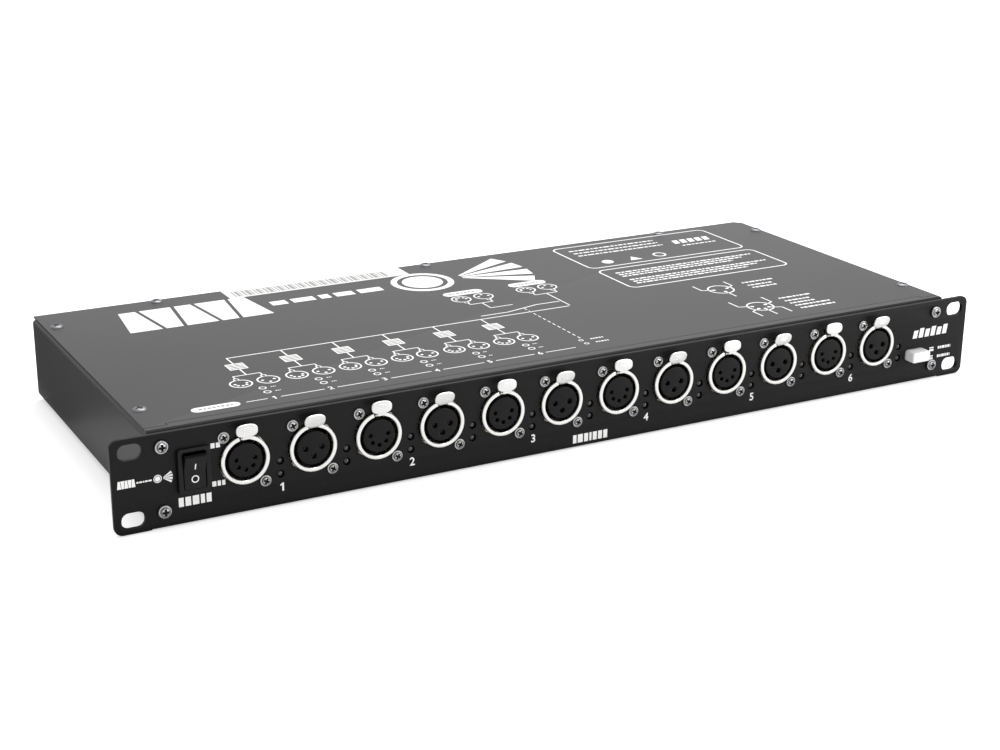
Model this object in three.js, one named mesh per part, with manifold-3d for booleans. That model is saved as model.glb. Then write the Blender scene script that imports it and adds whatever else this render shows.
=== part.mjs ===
// A one unit high rack splitter for stage lighting control signals. One input feeds six isolated
// outputs, and each output has a five pin and a three pin socket in the front panel.
// Sizes are in millimetres. X runs along the panel, Y runs to the back and Z runs up. The part stands
// on its feet at Z zero, and the origin is under the middle of its outer box.

import * as THREE from "three";
import { mergeVertices } from "three/addons/utils/BufferGeometryUtils.js";
import Module from "manifold-3d";

const wasm = await Module();
wasm.setup();

// Clearances and facet counts
const seatGap = 0.3; // between two pieces that rest on each other
const passGap = 0.4; // round whatever goes through the panel and the case wall
const cutOverrun = 1; // how far a cutting solid runs past the faces that it cuts
const barrelSides = 16;
const carrierSides = 12;
const screwSides = 8;
const smallHoleSides = 6;
const lampSides = 6;
const cornerSteps = 3;

// Rack panel
const panelWidth = 482.6;
const panelHeight = 44.45;
const panelThickness = 2;
const panelCornerRadius = 4;
const panelEarWidth = 16.5;
const panelMiddleRise = 0.4; // the lower edge between the ears is cut back by this much
const rackSlotInset = 8.75; // from the panel's ends to the middle of its slots
const rackSlotPitchZ = 31.75;
const rackSlotWidth = 10.6;
const rackSlotHeight = 7.4;
const rackSlotRadius = 3.3;

// Case, cover and feet
const sheetThickness = 1;
const caseLeftSetback = 17.3; // from the panel's left end to the case's left side
const caseRightSetback = 15.3;
const caseDepth = 191.6; // from the panel's front face to the case's back face
const caseRiseAbovePanelEdge = 2.6; // the case floor is this much higher than the panel's lower edge
const caseBendRadius = 2.4;
const caseFlangeWidth = 12;
const coverRiseAbovePanel = 0.6;
const coverFrontSetback = 7.5; // from the case's front wall
const coverCornerSetback = 5;
const coverCornerWidth = 11;
const coverSideInset = 0.6;
const coverCornerCut = 4; // the cover's back right corner is cut off by this much
const lipDropBelowCover = 0.1; // the folded lip in front of the cover is this much lower
const footHeight = 3;
const footRadius = 7;
const footTaper = 0.8;
const footInset = 24;
const footSides = 12;

// Screws that show
const coverScrewLeftInset = 6.4; // from the case's sides
const coverScrewRightInset = 4.3;
const coverScrewFrontY = 31;
const coverScrewRearInset = 23.6; // from the case's back, for the rear screw of each side
const coverScrewBackInset = 3.6;
const coverBackRowLeftInset = 65.5; // from the case's sides to the end screws of the back row
const coverBackRowRightInset = 63.5;
const coverBackScrewCount = 3;
const coverHeadRadius = 3.2;
const coverHeadHeight = 1.2;
const bigHeadRadius = 3.1;
const bigHeadHeight = 2.1;
const bigShankRadius = 1.9;
const bigShankBehindWall = 2;
const panelScrewInset = 22.7; // from the panel's ends
const panelScrewPitchZ = 30.3;
const smallHeadRadius = 2.75;
const smallHeadHeight = 1.8;
const smallShankRadius = 1.45;

// Output sockets
const mostOutputs = 6;
const socketsPerOutput = 2;
const socketPitch = 32.6;
const socketRowGap = 3.1; // from the switch's bezel to the first socket's flange
const socketRise = 3.4; // the socket axes above the middle of the panel
const ringRadius = 11.5;
const boreRadius = 9.65;
const ringReach = 2.2; // in front of the panel
const ringGapWidth = 5.6; // where the latch passes through the ring
const flangeWidth = 26;
const flangeHeight = 30;
const flangeThickness = 2;
const flangeCornerRadius = 3;
const housingRadius = 12;
const housingDepth = 17; // from the flange's front face
const housingFootWidth = 12;
const housingFootLength = 7;
const socketScrewX = 9.5;
const socketScrewZ = 12;
const carrierRadius = 8;
const carrierRecess = 0.4;
const carrierBaseThickness = 4;
const contactDepth = 9;
const contactSides = 6;
const fivePin = { count: 5, circleRadius: 4.5, spacing: 49, holeRadius: 1 };
const threePin = { count: 3, circleRadius: 4, spacing: 90, holeRadius: 1.35 };

// Socket latches
const latchThickness = 1.3;
const latchNeckWidth = 4.6;
const latchReach = 5.6; // in front of the panel
const latchPivotDepth = 9.4; // from the flange's front face
const latchBarRadius = 0.9;
const latchBarLength = 8;
const latchHookDrop = 1.3;
const latchHookFront = 1;
const latchHookLength = 2;
const latchSwing = 8;
const tabCornerRadius = 2.3;
const tabLift = 1.2; // from the ring's outer edge to the tab's lower edge
const fivePinTab = { width: 10.2, height: 5.2, lean: 0.6 };
const threePinTab = { width: 11, height: 4.2, lean: 1.2 };

// Signal lamps beside the sockets
const lampOffsetX = 16.9; // from the socket on their left
const upperLampDrop = 4; // below the socket axes
const lampPitchZ = 6.4;
const lampRadius = 1.5;
const lampRecess = 0.2;
const lampLength = 8;
const lampHolderWidth = 4.4;
const lampHolderLength = 4;
const lampHolderRim = 1.6;

// Power switch
const switchInset = 19.6; // from the case's left side
const switchDrop = 0.4; // below the socket axes
const bezelWidth = 15;
const bezelHeight = 21;
const bezelThickness = 1.8;
const bezelCornerRadius = 1;
const switchBodyWidth = 13.2;
const switchBodyHeight = 19.2;
const switchBodyDepth = 14; // behind the panel's front face
const rockerWidth = 10;
const rockerHalfHeight = 8.2;
const rockerDepth = 5;
const rockerTilt = 10.5;
const rockerCrease = 0.2; // the crease lies this far behind the bezel's face
const rockerPinRadius = 1;
const rockerPinLength = 0.8;
const rockerPocketFloor = 2.5;
const bladeCount = 2;
const bladeWidth = 4.8;
const bladeThickness = 0.8;
const bladeLength = 8;
const bladePitch = 9;

// Link button and its switch on the main board
const buttonInset = 19.6; // from the case's right side
const buttonDrop = 9.8; // below the socket axes
const buttonWidth = 12;
const buttonHeight = 5.8;
const buttonReach = 6.3; // in front of the panel
const buttonTail = 1.7; // behind the case wall
const buttonEdgeRadius = 1;
const buttonTravel = 2.5;
const stemWidth = 3;
const stemGrip = 3; // how far the stem reaches into its switch at rest
const linkSwitchWidth = 8;
const linkSwitchLength = 12;

// Main board
const boardThickness = 1.6;
const boardRearGap = 16.8; // from the board to the transformer's coil
const boardMargin = 12;
const boardPostRadius = 3;
const boardPostInset = 7;
const boardPostColumns = 4;
const driverWidth = 7;
const driverLength = 10;
const driverHeight = 4;
const isolatorWidth = 10;
const isolatorLength = 20;
const isolatorHeight = 9;

// Mains transformer
const transformerSideInset = 54; // from the case's left side
const transformerBackInset = 63.6; // from the case's back
const coreWidth = 48;
const coreLength = 18;
const coreHeight = 32;
const coilWidth = 30;
const coilLength = 34;
const coilHeight = 24;
const transformerFootWidth = 62;
const transformerFootThickness = 2;

// Back sockets
const backSocketInset = 81; // from the case's right side to the nearest socket
const backSocketPitch = 33; // between the two sockets of a pair
const backPairPitch = 39; // between the neighbours of two pairs
const backSocketRise = 0.9; // above the middle of the panel
const pinLength = 10.5;
const inputBoreDepth = 15;
const inputFloor = 2;

// Mains inlet with its fuse drawer
const inletInset = 36; // from the case's left side
const inletFlangeWidth = 32;
const inletFlangeHeight = 29;
const inletFlangeThickness = 2.5;
const inletBodyWidth = 27.4;
const inletBodyHeight = 26;
const inletBodyDepth = 22; // in front of the case's back face
const inletCavityWidth = 24;
const inletCavityHeight = 16.4;
const inletCavityDepth = 16;
const inletCavityChamfer = 4;
const inletWall = 1;
const inletPinWidth = 2;
const inletPinHeight = 4;
const inletPinLength = 13;
const inletPinPitch = 14;
const inletEarthRise = 3.4;
const drawerWidth = 23;
const drawerHeight = 5;
const drawerLength = 19;
const drawerLipThickness = 1.4;
const drawerLipRim = 0.8;

// Levels and places worked out from the sizes above
const rackSlotPitchX = panelWidth - 2 * rackSlotInset;
const panelScrewPitchX = panelWidth - 2 * panelScrewInset;
const caseLeft = caseLeftSetback - panelWidth / 2;
const caseRight = panelWidth / 2 - caseRightSetback;
const caseSpan = [caseLeft, caseRight];
const caseBottom = footHeight;
const panelBottom = caseBottom - caseRiseAbovePanelEdge;
const panelMiddle = panelBottom + panelHeight / 2;
const panelTop = panelBottom + panelHeight;
const coverTop = panelTop + coverRiseAbovePanel;
const coverBottom = coverTop - sheetThickness;
const caseTop = coverBottom - seatGap;
const lipTop = coverTop - lipDropBelowCover;
const caseMiddle = (caseBottom + caseTop) / 2;
const caseFloor = caseBottom + sheetThickness;
const caseFront = panelThickness + seatGap;
const caseFrontInside = caseFront + sheetThickness;
const caseBackInside = caseDepth - sheetThickness;
const coverCornerY = caseFront + coverCornerSetback;
const coverFrontY = caseFront + coverFrontSetback;
const socketZ = panelMiddle + socketRise;
const switchX = caseLeft + switchInset;
const buttonX = caseRight - buttonInset;
const firstFlangeLeft = switchX + bezelWidth / 2 + socketRowGap;
const socketRowRoom = buttonX - buttonWidth / 2 - firstFlangeLeft;
const outputRoom = socketsPerOutput * socketPitch;
const outputCount = Math.min(mostOutputs, Math.floor(socketRowRoom / outputRoom));
const socketCount = outputCount * socketsPerOutput;
const linkThreePinX = caseRight - backSocketInset;
const linkFivePinX = linkThreePinX - backSocketPitch;
const inputThreePinX = linkFivePinX - backPairPitch;
const inputFivePinX = inputThreePinX - backSocketPitch;
const inletX = caseLeft + inletInset;
const transformerX = caseLeft + transformerSideInset;
const transformerY = caseDepth - transformerBackInset;
const frontFlangeY = caseFrontInside + seatGap;
const backFlangeY = caseBackInside - seatGap;
const backWallDepth = caseDepth - backFlangeY;
const backSocketZ = panelMiddle + backSocketRise;
const upperLampZ = socketZ - upperLampDrop;
const lowerLampZ = upperLampZ - lampPitchZ;
const switchZ = socketZ - switchDrop;
const buttonZ = socketZ - buttonDrop;
const linkSwitchHeight = linkSwitchWidth;
const boardTop = buttonZ - linkSwitchHeight / 2;
const boardBottom = boardTop - boardThickness;
const boardFront = frontFlangeY + flangeThickness + 2 * seatGap;
const boardBack = transformerY - coilLength / 2 - boardRearGap;
const boardLeft = socketX(0) - boardMargin;
const boardRight = buttonX + boardMargin;
const buttonBack = caseFrontInside + buttonTail;
const linkSwitchFront = buttonBack + buttonTravel + cutOverrun;
const latchBottom = boreRadius + seatGap;
const latchTop = latchBottom + latchThickness;
const latchPivotZ = latchBottom + latchThickness / 2;
const tabBottom = ringRadius + tabLift;
const inletBottom = backSocketZ - inletBodyHeight / 2;
const drawerMiddle = inletBottom + inletWall + seatGap + drawerHeight / 2;
const inletCavityMiddle = backSocketZ + inletBodyHeight / 2 - inletWall - inletCavityHeight / 2;
const frontOutermost = Math.max(latchReach, buttonReach);
const backOutermost = caseDepth + latchReach;
const middleY = (backOutermost - frontOutermost) / 2;

// Finishes
const finish = (color, roughness, metalness) =>
  new THREE.MeshStandardMaterial({ color, roughness, metalness });
const blackPaint = finish(0x1d1d1f, 0.55, 0.2);
const darkPaint = finish(0x2a2a2c, 0.5, 0.2);
const nickel = finish(0xd8d8d6, 0.3, 0.9);
const zincSteel = finish(0xc4c4c6, 0.35, 0.9);
const blackPlastic = finish(0x161617, 0.5, 0);
const whitePlastic = finish(0xe6e6ea, 0.45, 0);
const boardGreen = finish(0x1f5a35, 0.6, 0);
const ironCore = finish(0x6f6a64, 0.6, 0.6);
const blackRubber = finish(0x141414, 0.9, 0);

// Geometry helpers
function toSolid(geometry) {
  const bare = geometry.clone();
  bare.deleteAttribute("normal");
  bare.deleteAttribute("uv");
  const merged = mergeVertices(bare);
  return new wasm.Manifold(
    new wasm.Mesh({
      numProp: 3,
      vertProperties: merged.attributes.position.array,
      triVerts: Uint32Array.from(merged.index.array),
    }),
  );
}

function toGeometry(solid) {
  const { vertProperties, triVerts } = solid.getMesh();
  const geometry = new THREE.BufferGeometry();
  geometry.setAttribute("position", new THREE.BufferAttribute(vertProperties, 3));
  geometry.setIndex(new THREE.BufferAttribute(triVerts, 1));
  geometry.computeVertexNormals();
  return geometry;
}

function joined(solids) {
  return solids.reduce((whole, solid) => whole.add(solid));
}

function cutFrom(solid, cutters) {
  return solid.subtract(joined(cutters));
}

function extruded(points, holes, depth) {
  const shape = new THREE.Shape(points);
  shape.holes = holes.map((hole) => new THREE.Path(hole));
  return new THREE.ExtrudeGeometry(shape, { depth, bevelEnabled: false });
}

// A prism whose outline is in X and Z, from one Y to another
function prismAlongY(points, fromY, toY, holes = []) {
  const geometry = extruded(points, holes, toY - fromY);
  return toSolid(geometry.rotateX(Math.PI / 2).translate(0, toY, 0));
}

// A prism whose outline is in Y and Z, from one X to another
function prismAlongX(points, fromX, toX) {
  const turn = new THREE.Matrix4().makeBasis(
    new THREE.Vector3(0, 1, 0),
    new THREE.Vector3(0, 0, 1),
    new THREE.Vector3(1, 0, 0),
  );
  return toSolid(extruded(points, [], toX - fromX).applyMatrix4(turn).translate(fromX, 0, 0));
}

// A prism whose outline is in X and Y, from one Z to another
function prismAlongZ(points, fromZ, toZ) {
  return toSolid(extruded(points, [], toZ - fromZ).translate(0, 0, fromZ));
}

function block([fromX, toX], [fromY, toY], [fromZ, toZ]) {
  const geometry = new THREE.BoxGeometry(toX - fromX, toY - fromY, toZ - fromZ);
  return toSolid(geometry.translate((fromX + toX) / 2, (fromY + toY) / 2, (fromZ + toZ) / 2));
}

// The span of a given width about a middle
function about(middle, width) {
  return [middle - width / 2, middle + width / 2];
}

function point(x, y) {
  return new THREE.Vector2(x, y);
}

function arc(x, y, radius, fromAngle, toAngle, steps) {
  return Array.from({ length: steps + 1 }, (_, k) => {
    const angle = fromAngle + ((toAngle - fromAngle) * k) / steps;
    return point(x + radius * Math.cos(angle), y + radius * Math.sin(angle));
  });
}

function circle(x, y, radius, sides) {
  return arc(x, y, radius, 0, 2 * Math.PI, sides).slice(0, sides);
}

function rectangle([left, right], [low, high]) {
  return [point(left, low), point(right, low), point(right, high), point(left, high)];
}

function roundedRectangle([left, right], [low, high], wantedRadius, steps = cornerSteps) {
  const radius = Math.min(wantedRadius, (right - left) / 2 - seatGap, (high - low) / 2 - seatGap);
  const quarter = Math.PI / 2;
  return [
    ...arc(right - radius, low + radius, radius, -quarter, 0, steps),
    ...arc(right - radius, high - radius, radius, 0, quarter, steps),
    ...arc(left + radius, high - radius, radius, quarter, 2 * quarter, steps),
    ...arc(left + radius, low + radius, radius, 2 * quarter, 3 * quarter, steps),
  ];
}

// A box section with its two upper corners bent round
function bentSection([left, right], [low, high], radius) {
  const quarter = Math.PI / 2;
  return [
    point(left, low),
    point(right, low),
    ...arc(right - radius, high - radius, radius, 0, quarter, cornerSteps),
    ...arc(left + radius, high - radius, radius, quarter, 2 * quarter, cornerSteps),
  ];
}

// A round hole with a notch in its top for a latch
function keyhole(x, z, radius, notchWidth, notchTop) {
  const half = notchWidth / 2;
  const edge = Math.acos(half / radius);
  return [
    point(x + half, z + notchTop),
    point(x - half, z + notchTop),
    ...arc(x, z, radius, Math.PI - edge, 2 * Math.PI + edge, barrelSides),
  ];
}

// A screw along Y with its head towards the front and the underside of its head at Y zero
function screw(headRadius, headHeight, shankRadius, shankLength) {
  const crownRadius = headRadius - headHeight / 3;
  const profile = [
    point(0, -headHeight),
    point(crownRadius, -headHeight),
    point(headRadius, 0),
    point(shankRadius, 0),
    point(shankRadius, shankLength),
    point(0, shankLength),
  ];
  return toSolid(new THREE.LatheGeometry(profile, screwSides));
}

function radians(degrees) {
  return THREE.MathUtils.degToRad(degrees);
}

function socketX(index) {
  return firstFlangeLeft + flangeWidth / 2 + index * socketPitch;
}

// A span drawn in from both ends
function drawnIn([left, right], inset) {
  return [left + inset, right - inset];
}

function socketPlaces() {
  return Array.from({ length: socketCount }, (_, k) => socketX(k));
}

// How high a latch can lift where it passes a given distance in front of its socket's flange
function latchLift(distance) {
  const rise = (latchPivotDepth + distance) * Math.sin(radians(latchSwing));
  return latchTop + rise + passGap;
}

// The openings that the panel and the case's front wall share, as outlines in X and Z
function socketOpenings(x, z) {
  const notchWidth = latchNeckWidth + 2 * passGap;
  const screwHole = smallShankRadius + passGap;
  return [
    keyhole(x, z, ringRadius + passGap, notchWidth, latchLift(frontFlangeY)),
    circle(x - socketScrewX, z + socketScrewZ, screwHole, smallHoleSides),
    circle(x + socketScrewX, z - socketScrewZ, screwHole, smallHoleSides),
  ];
}

function lampOpenings(x) {
  const lampHole = lampRadius + passGap;
  return [upperLampZ, lowerLampZ].map((z) => circle(x + lampOffsetX, z, lampHole, lampSides));
}

function switchOpening() {
  return rectangle(
    about(switchX, switchBodyWidth + 2 * passGap),
    about(switchZ, switchBodyHeight + 2 * passGap),
  );
}

function buttonOpening() {
  const across = about(buttonX, buttonWidth + 2 * passGap);
  const up = about(buttonZ, buttonHeight + 2 * passGap);
  return roundedRectangle(across, up, buttonEdgeRadius + passGap);
}

function panelScrewPlaces() {
  return [-1, 1].flatMap((side) =>
    [-1, 1].map((end) => [
      (side * panelScrewPitchX) / 2,
      caseMiddle + (end * panelScrewPitchZ) / 2,
    ]),
  );
}

function coverScrewPlaces() {
  const firstX = caseLeft + coverBackRowLeftInset;
  const rowLength = caseRight - coverBackRowRightInset - firstX;
  const back = Array.from({ length: coverBackScrewCount }, (_, k) => [
    firstX + (rowLength * k) / (coverBackScrewCount - 1),
    caseDepth - coverScrewBackInset,
  ]);
  const sides = [caseLeft + coverScrewLeftInset, caseRight - coverScrewRightInset].flatMap((x) => [
    [x, coverScrewFrontY],
    [x, caseDepth - coverScrewRearInset],
  ]);
  return [...back, ...sides];
}

// Front panel
function frontPanel() {
  const half = panelWidth / 2;
  const step = half - panelEarWidth;
  const quarter = Math.PI / 2;
  const radius = panelCornerRadius;
  const outline = [
    point(-step, panelBottom),
    point(-step, panelBottom + panelMiddleRise),
    point(step, panelBottom + panelMiddleRise),
    point(step, panelBottom),
    ...arc(half - radius, panelBottom + radius, radius, -quarter, 0, cornerSteps),
    ...arc(half - radius, panelTop - radius, radius, 0, quarter, cornerSteps),
    ...arc(radius - half, panelTop - radius, radius, quarter, 2 * quarter, cornerSteps),
    ...arc(radius - half, panelBottom + radius, radius, 2 * quarter, 3 * quarter, cornerSteps),
  ];
  const rackSlots = [-1, 1].flatMap((side) =>
    [-1, 1].map((end) =>
      roundedRectangle(
        about((side * rackSlotPitchX) / 2, rackSlotWidth),
        about(panelMiddle + (end * rackSlotPitchZ) / 2, rackSlotHeight),
        rackSlotRadius,
      ),
    ),
  );
  const screwHoles = panelScrewPlaces().map(([x, z]) =>
    circle(x, z, bigShankRadius + passGap, screwSides),
  );
  const holes = [
    ...rackSlots,
    ...screwHoles,
    ...socketPlaces().flatMap((x) => socketOpenings(x, socketZ)),
    ...socketPlaces().flatMap(lampOpenings),
    switchOpening(),
    buttonOpening(),
  ];
  return prismAlongY(outline, 0, panelThickness, holes);
}

// Case: one folded tray with flanges round its open top, and the posts that carry the main board
function bentBox(inset) {
  const radius = caseBendRadius - inset;
  const across = drawnIn(caseSpan, inset);
  const along = [caseFront + inset, caseDepth - inset];
  const up = [caseBottom + inset, caseTop - inset];
  return prismAlongY(bentSection(across, up, radius), ...along).intersect(
    prismAlongX(bentSection(along, up, radius), ...across),
  );
}

function boardPosts() {
  const span = boardRight - boardLeft - 2 * boardPostInset;
  return [boardFront + boardPostInset, boardBack - boardPostInset].flatMap((y) =>
    Array.from({ length: boardPostColumns }, (_, k) => {
      const x = boardLeft + boardPostInset + (span * k) / (boardPostColumns - 1);
      const outline = circle(x, y, boardPostRadius, screwSides);
      return prismAlongZ(outline, caseBottom + sheetThickness / 2, boardBottom - seatGap);
    }),
  );
}

// The front edge is folded double, so that it stands level with the cover and stops just before it
function frontLip() {
  const [left, right] = drawnIn(caseSpan, coverSideInset);
  const [cornerLeft, cornerRight] = drawnIn(caseSpan, coverCornerWidth);
  const bendStart = caseTop - caseBendRadius;
  const back = coverFrontY - seatGap;
  const quarter = Math.PI / 2;
  const side = [
    point(caseFront, bendStart),
    point(caseFrontInside, bendStart),
    point(caseFrontInside, caseTop - sheetThickness),
    point(back, caseTop - sheetThickness),
    point(back, lipTop),
    ...arc(
      caseFront + caseBendRadius,
      lipTop - caseBendRadius,
      caseBendRadius,
      quarter,
      2 * quarter,
      cornerSteps,
    ),
  ];
  const underEars = [
    [left - cutOverrun, cornerLeft + seatGap],
    [cornerRight - seatGap, right + cutOverrun],
  ].map((across) =>
    block(across, [coverCornerY - seatGap, back + cutOverrun], [caseTop, lipTop + cutOverrun]),
  );
  return cutFrom(prismAlongX(side, left, right), underEars);
}

function caseTray() {
  const window = block(
    drawnIn(caseSpan, caseFlangeWidth),
    [caseFront + caseFlangeWidth, caseDepth - caseFlangeWidth],
    [caseTop - sheetThickness - cutOverrun, caseTop + cutOverrun],
  );
  const throughFront = [caseFront - cutOverrun, caseFrontInside + cutOverrun];
  const lampSlots = socketPlaces().map((x) =>
    rectangle(about(x + lampOffsetX, 2 * lampRadius + 2 * passGap), [
      lowerLampZ - lampRadius - passGap,
      upperLampZ + lampRadius + passGap,
    ]),
  );
  const frontHoles = [
    ...socketPlaces().flatMap((x) => socketOpenings(x, socketZ)),
    ...lampSlots,
    ...panelScrewPlaces().map(([x, z]) => circle(x, z, bigShankRadius + passGap, screwSides)),
    switchOpening(),
    buttonOpening(),
  ].map((outline) => prismAlongY(outline, ...throughFront));
  const throughBack = [caseBackInside - cutOverrun, caseDepth + cutOverrun];
  const inletOpening = rectangle(
    about(inletX, inletBodyWidth + 2 * passGap),
    about(backSocketZ, inletBodyHeight + 2 * passGap),
  );
  const backHoles = [
    ...[linkFivePinX, linkThreePinX, inputFivePinX, inputThreePinX].flatMap(backOpenings),
    inletOpening,
  ].map((outline) => prismAlongY(outline, ...throughBack));
  const screwHoles = coverScrewPlaces().map(([x, y]) =>
    prismAlongZ(
      circle(x, y, smallShankRadius + passGap, screwSides),
      caseTop - sheetThickness - cutOverrun,
      caseTop + cutOverrun,
    ),
  );
  const shell = bentBox(0).subtract(bentBox(sheetThickness));
  const open = cutFrom(shell, [window, ...screwHoles, ...frontHoles, ...backHoles]);
  return joined([open, frontLip(), ...boardPosts()]);
}

function backOpenings(x) {
  const notchWidth = latchNeckWidth + 2 * passGap;
  const screwHole = smallShankRadius + passGap;
  return [
    keyhole(x, backSocketZ, ringRadius + passGap, notchWidth, latchLift(backWallDepth)),
    circle(x + socketScrewX, backSocketZ + socketScrewZ, screwHole, smallHoleSides),
    circle(x - socketScrewX, backSocketZ - socketScrewZ, screwHole, smallHoleSides),
  ];
}

// Cover: a flat plate on the flanges, with its seven screws in place
function topCover() {
  const [left, right] = drawnIn(caseSpan, coverSideInset);
  const [cornerLeft, cornerRight] = drawnIn(caseSpan, coverCornerWidth);
  const plate = prismAlongZ(
    [
      point(left, coverCornerY),
      point(cornerLeft, coverCornerY),
      point(cornerLeft, coverFrontY),
      point(cornerRight, coverFrontY),
      point(cornerRight, coverCornerY),
      point(right, coverCornerY),
      point(right, caseDepth - coverCornerCut),
      point(right - coverCornerCut, caseDepth),
      point(left, caseDepth),
    ],
    coverBottom,
    coverTop,
  );
  const shankLength = 2 * sheetThickness + 2 * seatGap + bigShankBehindWall;
  const fastener = screw(coverHeadRadius, coverHeadHeight, smallShankRadius, shankLength);
  const upright = fastener.rotate([-90, 0, 0]);
  return joined([plate, ...coverScrewPlaces().map(([x, y]) => upright.translate([x, y, coverTop]))]);
}

function panelScrew() {
  const shankLength = seatGap + panelThickness + seatGap + sheetThickness + bigShankBehindWall;
  return screw(bigHeadRadius, bigHeadHeight, bigShankRadius, shankLength);
}

// Everything of a socket is drawn round its axis, with the front face of its flange at Y zero.
// wallDepth is the distance from there to the outer face of the wall that the socket stands in.
function socketFlange(wallDepth) {
  const across = about(0, flangeWidth);
  const plate = prismAlongY(
    roundedRectangle(across, about(0, flangeHeight), flangeCornerRadius, 1),
    0,
    flangeThickness,
  );
  const ring = prismAlongY(
    circle(0, 0, ringRadius, barrelSides),
    -wallDepth - ringReach,
    flangeThickness,
  );
  const shankLength = seatGap + wallDepth + flangeThickness / 2;
  const fastener = screw(smallHeadRadius, smallHeadHeight, smallShankRadius, shankLength);
  const screwPlaces = [
    [-socketScrewX, -wallDepth - seatGap, socketScrewZ],
    [socketScrewX, -wallDepth - seatGap, -socketScrewZ],
  ];
  return joined([plate, ring, ...screwPlaces.map((place) => fastener.translate(place))]);
}

function latchedSocket(wallDepth, footDrop) {
  const front = -wallDepth - ringReach;
  const housing = prismAlongY(circle(0, 0, housingRadius, barrelSides), 0, housingDepth);
  const foot = block(
    about(0, housingFootWidth),
    [housingDepth - housingFootLength, housingDepth],
    [-footDrop, -boreRadius],
  );
  const bore = prismAlongY(
    circle(0, 0, boreRadius, barrelSides),
    front - cutOverrun,
    housingDepth + cutOverrun,
  );
  const gap = about(0, ringGapWidth);
  const ringGap = block(gap, [front - cutOverrun, 0], [0, ringRadius + cutOverrun]);
  const flangeGap = block(gap, [-cutOverrun, flangeThickness], [0, latchLift(0)]);
  const housingGap = block(
    gap,
    [flangeThickness, latchPivotDepth + latchBarRadius + seatGap],
    [0, housingRadius + cutOverrun],
  );
  const barPocket = block(
    about(0, latchBarLength + 2 * seatGap),
    about(latchPivotDepth, 2 * latchBarRadius + 2 * seatGap),
    [latchPivotZ - latchBarRadius - seatGap, housingRadius + cutOverrun],
  );
  const body = joined([socketFlange(wallDepth), housing, foot]);
  return cutFrom(body, [bore, ringGap, flangeGap, housingGap, barPocket]);
}

function contactPlaces({ count, circleRadius, spacing }) {
  return Array.from({ length: count }, (_, k) => {
    const angle = radians((k - (count - 1) / 2) * spacing - 90);
    return [circleRadius * Math.cos(angle), circleRadius * Math.sin(angle)];
  });
}

function contactCarrier(contacts, wallDepth, baseRadius) {
  const front = -wallDepth - ringReach + carrierRecess;
  const nose = prismAlongY(
    circle(0, 0, carrierRadius, carrierSides),
    front,
    housingDepth - carrierBaseThickness / 2,
  );
  const base = prismAlongY(
    circle(0, 0, baseRadius, carrierSides),
    housingDepth - carrierBaseThickness,
    housingDepth,
  );
  const holes = contactPlaces(contacts).map(([x, z]) =>
    prismAlongY(
      circle(x, z, contacts.holeRadius, contactSides),
      front - cutOverrun,
      front + contactDepth,
    ),
  );
  return cutFrom(joined([nose, base]), holes);
}

// Latch: a sprung lever with a push tab in front, a hook in the bore and a cross bar at its back
function latch(tab, wallDepth) {
  const tabFront = -wallDepth - latchReach;
  const tabTop = tabBottom + tab.height;
  const side = [
    point(tabFront, latchBottom),
    point(latchHookFront, latchBottom),
    point(latchHookFront, latchBottom - latchHookDrop),
    point(latchHookFront + latchHookLength, latchBottom),
    point(latchPivotDepth, latchBottom),
    point(latchPivotDepth, latchTop),
    point(tabFront + latchThickness, latchTop),
    point(tabFront + latchThickness + tab.lean, tabTop),
    point(tabFront + tab.lean, tabTop),
  ];
  const lever = prismAlongX(side, ...about(0, tab.width));
  const along = [tabFront - cutOverrun, latchPivotDepth + cutOverrun];
  const neck = prismAlongY(
    rectangle(about(0, latchNeckWidth), [0, tabBottom + latchThickness]),
    ...along,
  );
  const paddle = prismAlongY(
    roundedRectangle(about(0, tab.width), [tabBottom, tabTop], tabCornerRadius, 2),
    ...along,
  );
  const bar = prismAlongX(
    circle(latchPivotDepth, latchPivotZ, latchBarRadius, smallHoleSides),
    ...about(0, latchBarLength),
  );
  return joined([lever.intersect(joined([neck, paddle])), bar]);
}

// Input socket of the back: a cup with standing pins
function pinSocket(contacts, wallDepth) {
  const front = -wallDepth - ringReach;
  const housing = prismAlongY(
    circle(0, 0, housingRadius, barrelSides),
    0,
    front + inputBoreDepth + inputFloor,
  );
  const bore = prismAlongY(
    circle(0, 0, boreRadius, barrelSides),
    front - cutOverrun,
    front + inputBoreDepth,
  );
  const pins = contactPlaces(contacts).map(([x, z]) =>
    prismAlongY(
      circle(x, z, contacts.holeRadius - seatGap / 2, contactSides),
      front + inputBoreDepth - pinLength,
      front + inputBoreDepth + inputFloor / 2,
    ),
  );
  return joined([cutFrom(joined([socketFlange(wallDepth), housing]), [bore]), ...pins]);
}

// Power switch: a frame through the panel and a rocker that tips on two pins
const bezelFront = -seatGap - bezelThickness;
const rockerPivotY = bezelFront + rockerCrease + rockerDepth / 2;
const pocketWidth = rockerWidth + 2 * seatGap;

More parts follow.
